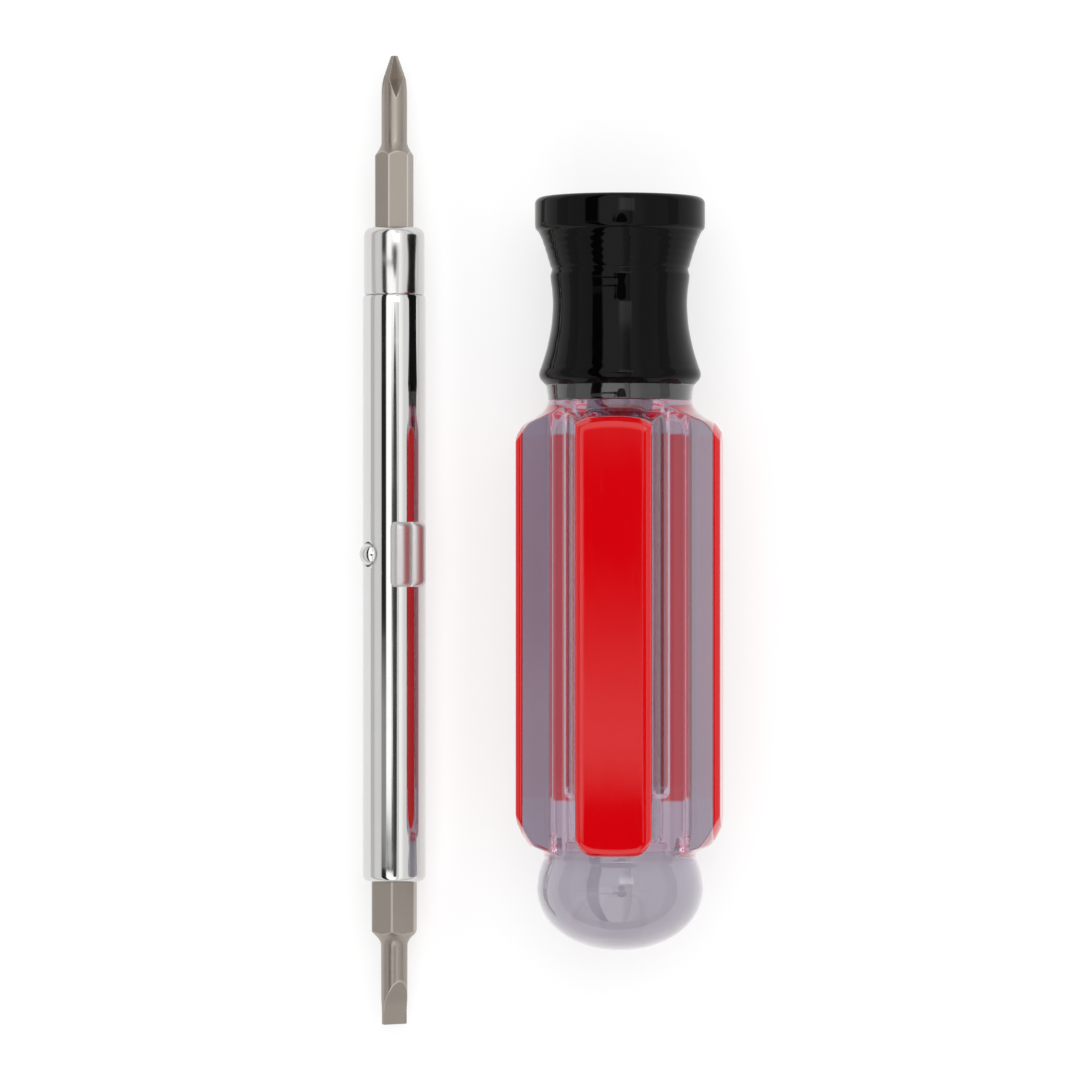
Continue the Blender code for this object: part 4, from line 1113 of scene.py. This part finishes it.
def key_ring(along):
    """Section of the saddle: two rounded ridges above, the tube's curve below."""
    short = max(1 - (KEY_LENGTH / 2 - abs(along)) / KEY_END_ROUND, 0)
    fullness = 1 - KEY_END_FALL * short**KEY_END_CURVE
    half = KEY_WIDTH / 2 - KEY_END_ROUND / 2 * (1 - fullness)
    edge = math.sqrt(KEY_FOOT**2 - half**2) + KEY_EDGE_HEIGHT
    upper = []
    for t in np.sin(np.linspace(-math.pi / 2, math.pi / 2, 2 * KEY_ACROSS_STEPS + 1)):
        across = half * t
        beyond = abs(across) - KEY_RIDGE_OFFSET
        reach, low = (half - KEY_RIDGE_OFFSET, edge) if beyond > 0 else (KEY_RIDGE_OFFSET, KEY_FLOOR)
        rise = math.sqrt(max(1 - (beyond / reach) ** 2, 0))
        ground = math.sqrt(KEY_FOOT**2 - across**2)
        upper.append((across, ground + (low + (KEY_CREST - low) * rise - ground) * fullness))
    under = np.linspace(-1, 1, KEY_UNDER_STEPS + 1)
    return upper + [(-half * t, math.sqrt(KEY_FOOT**2 - (half * t) ** 2)) for t in under]


def make_key():
    """Sections of the saddle from end to end, closest together where the ends round off."""
    end = KEY_LENGTH / 2
    bends = np.linspace(0, math.pi / 2, KEY_END_STEPS + 1)
    nearer = [end - KEY_END_ROUND * (1 - math.cos(bend)) for bend in bends]
    rings = []
    for along in [-a for a in nearer] + nearer[::-1]:
        section = [about_axis(across, out, KEY_TURN) for across, out in key_ring(along)]
        rings.append([on_shaft(x, up, along) for x, up in section])
    shape = bmesh.new()
    join_rings(shape, rings)
    return mesh_of(shape, "key_saddle", sharp=50)


key_mesh = rub(make_key(), KEY_RUB)
finish_piece("key_saddle", key_mesh, chrome, "shaft", "chrome", "drive_key")

# %% Detent ball
BALL_RADIUS = 2.2
BALL_CENTRE = 4.9


def on_ball_way(out):
    """A point on the line that the ball presses along, measured out from the shaft's axis."""
    return on_shaft(*about_axis(0, out, BALL_TURN), 0)


def stand_on_ball_way(shape, out):
    """Turn a shape that was made along Z into the way of the ball."""
    bmesh.ops.rotate(shape, verts=shape.verts, matrix=Matrix.Rotation(BALL_TURN, 3, "Y"))
    bmesh.ops.translate(shape, verts=shape.verts, vec=on_ball_way(out))


def make_ball():
    """A turned ball with its poles along the way it presses."""
    shape = bmesh.new()
    bmesh.ops.create_uvsphere(shape, u_segments=72, v_segments=40, radius=BALL_RADIUS * MM)
    stand_on_ball_way(shape, BALL_CENTRE)
    return mesh_of(shape, "ball")


finish_piece("ball", make_ball(), chrome, "detent_ball", "chrome", "detent_ball")

# %% [markdown]
# The spring behind the ball
#
# A geometry tree winds it: a round wire swept along a spiral. When the ball goes in, the spring gets
# shorter by the same way; here that shortest length is worked out, and the spring keeps its free length.

# %% Detent spring
SPRING = {"Radius": 1.65 * MM, "Wire": 0.25 * MM, "Rise": 5.195 * MM, "Curls": 5.0}
SPRING_FOOT = -2.3
CURL_STEPS = 32
WIRE_SIDES = 12


def spring_tree():
    """A wire of the given radius along a spiral of the given radius, rise and number of curls."""
    inputs = {**dict.fromkeys(SPRING, "Float"), "Finish": "Material"}
    sheet, (radius, wire, rise, curls, paint) = new_tree("wind_spring", inputs)
    turns = {"Resolution": CURL_STEPS, "Rotations": curls, "Height": rise}
    width = {"Start Radius": radius, "End Radius": radius}
    spiral = sheet.node("GeometryNodeCurveSpiral", None, {**turns, **width})
    across = {"Resolution": WIRE_SIDES, "Radius": wire}
    circle = sheet.node("GeometryNodeCurvePrimitiveCircle", None, across)
    swept = {"Curve": spiral, "Profile Curve": circle, "Fill Caps": True}
    return end_tree(sheet, sheet.node("GeometryNodeCurveToMesh", None, swept), paint)


def make_spring():
    """The spring at its free length, in the way of the ball."""
    values = dict(SPRING, Finish=spring_steel)
    shape = bmesh.new()
    shape.from_mesh(run_tree(bpy.data.meshes.new("spring_start"), spring_tree(), values))
    stand_on_ball_way(shape, SPRING_FOOT)
    return mesh_of(shape, "coil_spring")


coil_spring = finish_piece(
    "coil_spring", make_spring(), spring_steel, "shaft", "spring_steel", "detent_spring"
)
ball_travel = next(joint["range_m"][1] for joint in frame["joints"] if joint["name"] == "ball_press")
shortest = 1 - ball_travel / SPRING["Rise"]
spring_end = on_ball_way(SPRING_FOOT - SPRING["Wire"] / MM)
ball_way = on_ball_way(1) - on_ball_way(0)
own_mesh(coil_spring)
print("spring keeps", round(shortest, 3))

# %% [markdown]
# The two bits
#
# Each bit is a hexagon with a cross point at one end and a blade at the other. Every surface of it can be
# given as a distance from its axis at an angle and a height: a turned outline, a hexagon, four V-shaped
# flutes, two ground faces. The bit is the least of them all. So the sheet that unrolls it, with angle and
# height as its two directions, is rolled up by a geometry tree that works out this rule, once for each bit.
# Where two of the surfaces are equally near, there is an edge, and the tree marks it as worn, which paints
# it pale: partly wear, partly a painted highlight.

# %% Rolling a bit from a flat sheet
FLARE_LENGTH = 2.6
FLARE_CURVE = 1.7
CROSS_POINT_LENGTH = 4.4
CROSS_TIP_RADIUS = 0.7
CROSS_TIP_ROUND = 0.23
CROSS_WEB = 0.45
CROSS_SHOULDER_WEB = 0.62
CROSS_FLUTE_LENGTH = 8.0
CROSS_FLUTE_HALF_ANGLE = math.radians(46)
CROSS_FLUTE_TURN = math.radians(26)
BLADE_THICKNESS = 0.75
BLADE_FLAT_LENGTH = 3.5
BLADE_GRIND_LENGTH = 4.7
BLADE_TIP_NARROWING = 0.04
BLADE_HOLLOW = 0.9
BLADE_TURN = math.radians(32)
BIT_EDGE = 0.09
WEAR_AND_HIGHLIGHT_WIDTH = 0.11
WEAR_AND_HIGHLIGHT_CORNER = (math.radians(26.5), math.radians(29.5))
BIT_COLUMNS = 240
HEX_SHOWN = 0.05
LEAST = 0.001


def bit_tree():
    """Rolls a sheet of (angle, height, turned radius) into a bit. All lengths are in millimetres."""
    lengths = ("Flats", "Hex Length", "Cross Length", "Cross Radius", "Blade Length", "Blade Radius")
    inputs = {"Geometry": "Geometry", **dict.fromkeys((*lengths, "Turn"), "Float")}
    sheet, values = new_tree("roll_bit", {**inputs, "Middle": "Vector", "Finish": "Material"})
    shape, flats, hexagon, cross, cross_radius, blade, blade_radius, turn, middle, paint = values
    edges = []

    def lesser(a, b):
        """Soft minimum, so that edges are slightly broken. Where the two are close, the edge is marked worn,
        partly wear and partly a painted highlight.
        """
        apart = (a - b).maths("ABSOLUTE") / WEAR_AND_HIGHLIGHT_WIDTH
        edges.append(1 - apart.maths("MINIMUM", 1.0))
        return sheet.node("ShaderNodeMath", {"operation": "SMOOTH_MIN"}, {0: a, 1: b, 2: BIT_EDGE})

    angle, height, outline = sheet.parts(sheet.node("GeometryNodeInputPosition"))
    corner_angle = angle.maths("MODULO", math.pi / 3) - math.pi / 6
    hexagonal = flats / 2 / corner_angle.maths("COSINE")
    reach = lesser(outline, hexagonal)
    # The hexagon's corners near the flare are marked too, for wear and a painted highlight.
    at_corner = corner_angle.maths("ABSOLUTE").step(*WEAR_AND_HIGHLIGHT_CORNER)
    edges.append(at_corner * (outline - hexagonal).step(0.0, HEX_SHOWN))

    tip = hexagon / 2 + cross - height
    web = tip.maths("MAXIMUM", 0.0).maths("MINIMUM", CROSS_POINT_LENGTH) / CROSS_POINT_LENGTH
    web = web * (CROSS_SHOULDER_WEB - CROSS_WEB) + CROSS_WEB
    fade = (tip - CROSS_POINT_LENGTH).maths("MAXIMUM", 0.0) / (CROSS_FLUTE_LENGTH - CROSS_POINT_LENGTH)
    web = web + fade * (cross_radius - CROSS_SHOULDER_WEB)
    spread = math.tan(CROSS_FLUTE_HALF_ANGLE)
    off = (angle - CROSS_FLUTE_TURN + math.pi * 2 + math.pi / 4).maths("MODULO", math.pi / 2) - math.pi / 4
    opening = off.maths("COSINE") * spread - off.maths("SINE").maths("ABSOLUTE")
    flute = web * spread / opening.maths("MAXIMUM", LEAST)
    reach = lesser(reach, flute)

    end = hexagon / 2 + blade + height
    slope = (blade_radius - BLADE_THICKNESS / 2) / BLADE_GRIND_LENGTH
    rise = (end - BLADE_FLAT_LENGTH) * slope
    ground = rise.maths("SMOOTH_MAX", 0.0, BLADE_HOLLOW) + BLADE_THICKNESS / 2
    facing = (angle - BLADE_TURN).maths("COSINE").maths("ABSOLUTE").maths("MAXIMUM", LEAST)
    reach = lesser(reach, ground / facing)

    turned = angle + turn
    parts = {"X": turned.maths("SINE") * reach, "Y": height, "Z": turned.maths("COSINE") * reach}
    rolled = sheet.node("ShaderNodeCombineXYZ", None, parts)
    scaled = sheet.node("ShaderNodeVectorMath", {"operation": "SCALE"}, {0: rolled, "Scale": MM})
    placed = sheet.node("ShaderNodeVectorMath", {"operation": "ADD"}, {0: scaled, 1: middle})
    # These marks give the bits' pale edges: partly wear, partly a painted highlight.
    wear_and_highlight = edges[0]
    for edge in edges[1:]:
        wear_and_highlight = wear_and_highlight.maths("MAXIMUM", edge)
    kept = {"Geometry": shape, "Name": "wear_and_highlight", "Value": wear_and_highlight}
    marked = sheet.node("GeometryNodeStoreNamedAttribute", {"data_type": "FLOAT"}, kept)
    moved = sheet.node("GeometryNodeSetPosition", None, {"Geometry": marked, "Position": placed})
    merged = sheet.node("GeometryNodeMergeByDistance", None, {"Geometry": moved, "Distance": SAME_POINT})
    return end_tree(sheet, merged, paint)


roll_bit = bit_tree()
print("nodes that roll a bit:", len(roll_bit.nodes))

# %% Sheet of one bit
OVER_CORNER = 0.12
FLARE_LAP = 0.1
BLADE_TIP_ROUND = 0.2
BLADE_TIP_CLEAR = 0.35
GROUND_CLEAR = 0.5
FINE_STEP = 0.13
FLARE_ROWS = 24
BLADE_SHANK_ROWS = 10
CROSS_SHANK_ROWS = 8
CROSS_POINT_ROWS = 36


def bit_outline(sizes):
    """Turned outline of a bit, from the blade's tip up, as (radius, height)."""
    half = sizes["Hex Length"] / 2
    corner = sizes["Flats"] / 2 / math.cos(math.pi / 6) + OVER_CORNER

    def flare(radius):
        """From over the corners of the hexagon down to a shank."""
        spread = [(radius + (corner - radius) * s**FLARE_CURVE, s) for s in np.linspace(1, 0, FLARE_ROWS)]
        return [(r, half - FLARE_LAP + (FLARE_LENGTH + FLARE_LAP) * (1 - s)) for r, s in spread]

    blade_tip = half + sizes["Blade Length"]
    blade = sizes["Blade Radius"]
    tip_centre = (blade - BLADE_TIP_NARROWING - BLADE_TIP_ROUND, -BLADE_TIP_ROUND)
    lower = [(r, d + blade_tip) for r, d in quarter_round(tip_centre, BLADE_TIP_ROUND, 90, 0, 4)]
    start = half + FLARE_LENGTH
    ground = blade_tip - BLADE_FLAT_LENGTH - BLADE_GRIND_LENGTH - GROUND_CLEAR
    fine = np.arange(blade_tip - BLADE_TIP_CLEAR, ground, -FINE_STEP)
    for h in np.concatenate([fine, np.linspace(ground, start, BLADE_SHANK_ROWS)]):
        lower.append((blade - BLADE_TIP_NARROWING * (h - start) / (blade_tip - start), h))
    lower += flare(blade)[::-1]
    cross_tip = half + sizes["Cross Length"]
    cross = sizes["Cross Radius"]
    upper = flare(cross)
    fluted = cross_tip - CROSS_FLUTE_LENGTH - GROUND_CLEAR
    shoulder = cross_tip - CROSS_POINT_LENGTH
    upper += [(cross, h) for h in np.linspace(start, fluted, CROSS_SHANK_ROWS)[1:]]
    upper += [(cross, h) for h in np.arange(fluted + FINE_STEP, shoulder, FINE_STEP)]
    point = CROSS_POINT_LENGTH - CROSS_TIP_ROUND
    shares = np.linspace(0, 1, CROSS_POINT_ROWS)
    upper += [(cross + (CROSS_TIP_RADIUS - cross) * t, shoulder + point * t) for t in shares]
    tip_centre = (CROSS_TIP_RADIUS - CROSS_TIP_ROUND, cross_tip - CROSS_TIP_ROUND)
    upper += quarter_round(tip_centre, CROSS_TIP_ROUND, 15, 90, 5)
    return [(r, -h) for r, h in lower] + upper


def bit_sheet(sizes):
    """The unrolled bit: angle along X, height along Y, turned radius along Z."""
    angles = circle_angles(BIT_COLUMNS)
    shape = bmesh.new()
    join_rings(shape, [[(a, height, radius) for a in angles] for radius, height in bit_outline(sizes)])
    mesh = bpy.data.meshes.new("bit_sheet")
    shape.to_mesh(mesh)
    shape.free()
    return mesh


print("columns of a bit:", BIT_COLUMNS)

# %% Both bits
UPPER_BIT = {
    "Flats": UPPER_FLATS,
    "Hex Length": 25.0,
    "Cross Length": 18.6,
    "Cross Radius": 2.38,
    "Blade Length": 18.6,
    "Blade Radius": 2.38,
    "Turn": UPPER_TURN,
}
LOWER_BIT = {
    "Flats": LOWER_FLATS,
    "Hex Length": 24.2,
    "Cross Length": 16.4,
    "Cross Radius": 3.0,
    "Blade Length": 17.4,
    "Blade Radius": 2.46,
    "Turn": LOWER_TURN,
}
UPPER_SEAT = 11.7
LOWER_SEAT = 15.0


def make_bit(name, sizes, middle):
    """A bit of the given sizes, with the middle of its hexagon at a place along the shaft."""
    values = dict(sizes, Middle=tuple(on_shaft(0, 0, middle)), Finish=satin_steel)
    shape = bmesh.new()
    shape.from_mesh(run_tree(bit_sheet(sizes), roll_bit, values))
    return mesh_of(shape, name, sharp=25)


upper_middle = SHAFT_HALF - UPPER_SEAT + UPPER_BIT["Hex Length"] / 2
lower_middle = LOWER_SEAT - SHAFT_HALF - LOWER_BIT["Hex Length"] / 2
cross_mesh = make_bit("cross_bit", UPPER_BIT, upper_middle)
blade_mesh = make_bit("blade_bit", LOWER_BIT, lower_middle)
finish_piece("cross_bit", cross_mesh, satin_steel, "upper_bit", "satin_steel", "upper_bit")
finish_piece("blade_bit", blade_mesh, satin_steel, "lower_bit", "satin_steel", "lower_bit")

# %% [markdown]
# What stays as it was packed
#
# The plug and the two clips are hidden inside the shaft, and their solids are right as they are. They only
# get the finishes above.

# %% Finishes of the hidden pieces
HIDDEN = {
    "centre_plug": satin_steel,
    "upper_clip": spring_steel,
    "lower_clip": spring_steel,
}
for node, material in HIDDEN.items():
    solid = frame["nodes"][node]
    solid.data.materials.clear()
    solid.data.materials.append(material)
print("kept solids:", ", ".join(HIDDEN))

# %% [markdown]
# Studio
#
# The pieces lie on a white table under a broad diffuser. Chrome shows whatever is above it, so the diffuser
# has a bright middle panel, a darker gap on either side of it, a window and a dark patch where a camera
# hangs on its arm. It is one plane that shines, and its brightness follows from where a point lies on it.

# %% Floor
def make_plane(name, size, height):
    """A square of the stage."""
    mesh = bpy.data.meshes.new(name)
    half = size / 2
    corners = [(-half, -half, height), (half, -half, height), (half, half, height), (-half, half, height)]
    mesh.from_pydata(corners, [], [(0, 1, 2, 3)])
    plane = bpy.data.objects.new(name, mesh)
    bpy.context.scene.collection.objects.link(plane)
    return plane


FLOOR_SIZE = 8.0
FLOOR_DROP = 0.00005
FLOOR_GREY = (0.48, 0.48, 0.48, 1)
FLOOR_GLOW = 0.6
floor_constants = {
    "Base Color": FLOOR_GREY,
    "Specular IOR Level": 0.0,
    "Emission Color": (1.0, 1.0, 1.0, 1),
    "Emission Strength": FLOOR_GLOW,
}
floor_paint, floor_sheet, floor_shader = new_finish("light_table", floor_constants)
speckle = floor_sheet.noise(floor_sheet.place(), scale=300.0)
connect(floor_sheet, floor_shader, Roughness=speckle * 0.1 + 0.75)
floor = make_plane("floor", FLOOR_SIZE, CAD_BOX[0].z - FLOOR_DROP)
floor.data.materials.append(floor_paint)
print("floor at", round(CAD_BOX[0].z, 5))

# %% Light of the diffuser
# Stretches across or along the diffuser, in metres: from, to, and half the width of the soft edges.
LEFT_SIDE = (-1.15, -0.89, 0.05)
LEFT_GAP = (-0.89, -0.44, 0.05)
LEFT_GAP_LIT = (-0.14, -0.05, 0.02)
PANEL = (-0.44, 0.19, 0.05)
RIGHT_GAP = (0.19, 0.34, 0.03)
WINDOW = (0.06, 0.42, 0.05)
ARM_ACROSS = (-0.44, 0.1, 0.02)
ARM_ALONG = (-0.155, -0.11, 0.012)
HOOD_ACROSS = (-0.085, -0.015, 0.025)
STAND_ALONG = (-0.16, -0.09, 0.02)
# Ramps across or along it, in metres: from and to.
LEFT_WALL_END = (-1.2, -1.1)
RIGHT_WALL_START = (0.32, 0.40)
RIGHT_WALL_FADE = (0.5, 0.9)
WINDOW_SILL = (0.095, 0.12)
WINDOW_FADE = (0.12, 0.6)
HOOD_START = (-0.20, -0.12)
HOOD_DEEPENS = (-0.085, 0.0)
HOOD_END = (0.02, 0.1)
# The camera's body is an oval.
BODY_MIDDLE = 0.12
BODY_HALF_WIDTH = 0.14
BODY_ABOVE = 0.09
BODY_BELOW = 0.3
BODY_EDGE = (0.75, 1.1)


def band(value, low, high, soft):
    """1 between low and high, falling off over a soft edge."""
    return value.step(low - soft, low + soft) * (1 - value.step(high - soft, high + soft))


def diffuser_glow(x, y):
    """Brightness at a point of the diffuser, with the camera left out."""
    left_wall = 0.76 * (1 - x.step(*LEFT_WALL_END))
    left_side = band(x, *LEFT_SIDE) * 0.74
    left_gap = band(x, *LEFT_GAP) * (0.02 + 0.3 * band(y, *LEFT_GAP_LIT))
    panel = band(x, *PANEL) * 1.3
    right_gap = band(x, *RIGHT_GAP) * 0.8
    right_wall = x.step(*RIGHT_WALL_START) * (1.1 - 0.3 * x.step(*RIGHT_WALL_FADE))
    window = band(x, *WINDOW) * y.step(*WINDOW_SILL) * (1 - y.step(*WINDOW_FADE)) * 1.6
    return left_wall + left_side + left_gap + panel + right_gap + right_wall + window


def camera_shade(x, y):
    """How much of the light the camera with its arm, hood and stand takes away."""
    aside = ((x - BODY_MIDDLE) / BODY_HALF_WIDTH).maths("ABSOLUTE")
    above = y.maths("MAXIMUM", 0.0) / BODY_ABOVE
    below = y.maths("MINIMUM", 0.0).maths("ABSOLUTE") / BODY_BELOW
    body = 1 - (aside**2 + above**2 + below**2).step(*BODY_EDGE)
    arm = band(x, *ARM_ACROSS) * band(y, *ARM_ALONG)
    under_hood = band(x, *HOOD_ACROSS)
    hood = (y.step(*HOOD_DEEPENS) * 0.65 + 0.35) * (1 - y.step(*HOOD_END)) * y.step(*HOOD_START)
    stand = band(y, *STAND_ALONG) * 0.9
    dark = (under_hood * hood + under_hood * stand).maths("MINIMUM", 1.0)
    return dark.maths("MAXIMUM", body.maths("MAXIMUM", arm) * 0.95)


print("bright panel from", PANEL[0], "to", PANEL[1], "m")

# %% Diffuser overhead
CEILING = 0.98
DIFFUSER_SIZE = 5.6
LIGHT = 1.16
WORLD_GREY = (0.66, 0.66, 0.66, 1)


def make_diffuser():
    """The plane that lights the table, unseen by the camera itself."""
    plane = make_plane("diffuser", DIFFUSER_SIZE, CEILING)
    plane.data.flip_normals()
    plane.visible_camera = False
    material = bpy.data.materials.new("diffuser_light")
    material.use_nodes = True
    material.node_tree.nodes.clear()
    sheet = Sheet(material.node_tree)
    x, y, _ = sheet.parts(sheet.here())
    glow = diffuser_glow(x, y) * (1 - camera_shade(x, y))
    light = sheet.node("ShaderNodeEmission", None, {"Strength": glow * LIGHT})
    sheet.node("ShaderNodeOutputMaterial", None, {"Surface": light})
    plane.data.materials.append(material)


make_diffuser()
world = bpy.data.worlds.new("studio")
world.use_nodes = True
world.node_tree.nodes["Background"].inputs["Color"].default_value = WORLD_GREY
bpy.context.scene.world = world
print("diffuser at", CEILING)

# %% [markdown]
# Camera
#
# The photograph looks straight down on the table from about a metre, leaning a few degrees to the right.

# %% Camera and colour
CAMERA_DISTANCE = 0.95
CAMERA_LEAN = math.radians(4.8)
CAMERA_TARGET = Vector((0.0, 0.0, 0.012))
FRAME_WIDTH = 0.1989
SENSOR = 36.0
BOUNCES = 24
GLOSSY_BOUNCES = 12
lens = bpy.data.cameras.new("camera")
lens.sensor_width = SENSOR
lens.lens = SENSOR * CAMERA_DISTANCE / FRAME_WIDTH
lens.clip_start = 0.01
camera = bpy.data.objects.new("camera", lens)
away = Vector((math.sin(CAMERA_LEAN), 0, math.cos(CAMERA_LEAN)))
camera.location = CAMERA_TARGET + away * CAMERA_DISTANCE
camera.rotation_euler = (0, CAMERA_LEAN, 0)
scene = bpy.context.scene
scene.collection.objects.link(camera)
scene.camera = camera
scene.view_settings.view_transform = "Standard"
scene.cycles.max_bounces = BOUNCES
scene.cycles.transmission_bounces = BOUNCES
scene.cycles.glossy_bounces = GLOSSY_BOUNCES
scene.cycles.use_denoising = True
print("lens", round(lens.lens, 1))
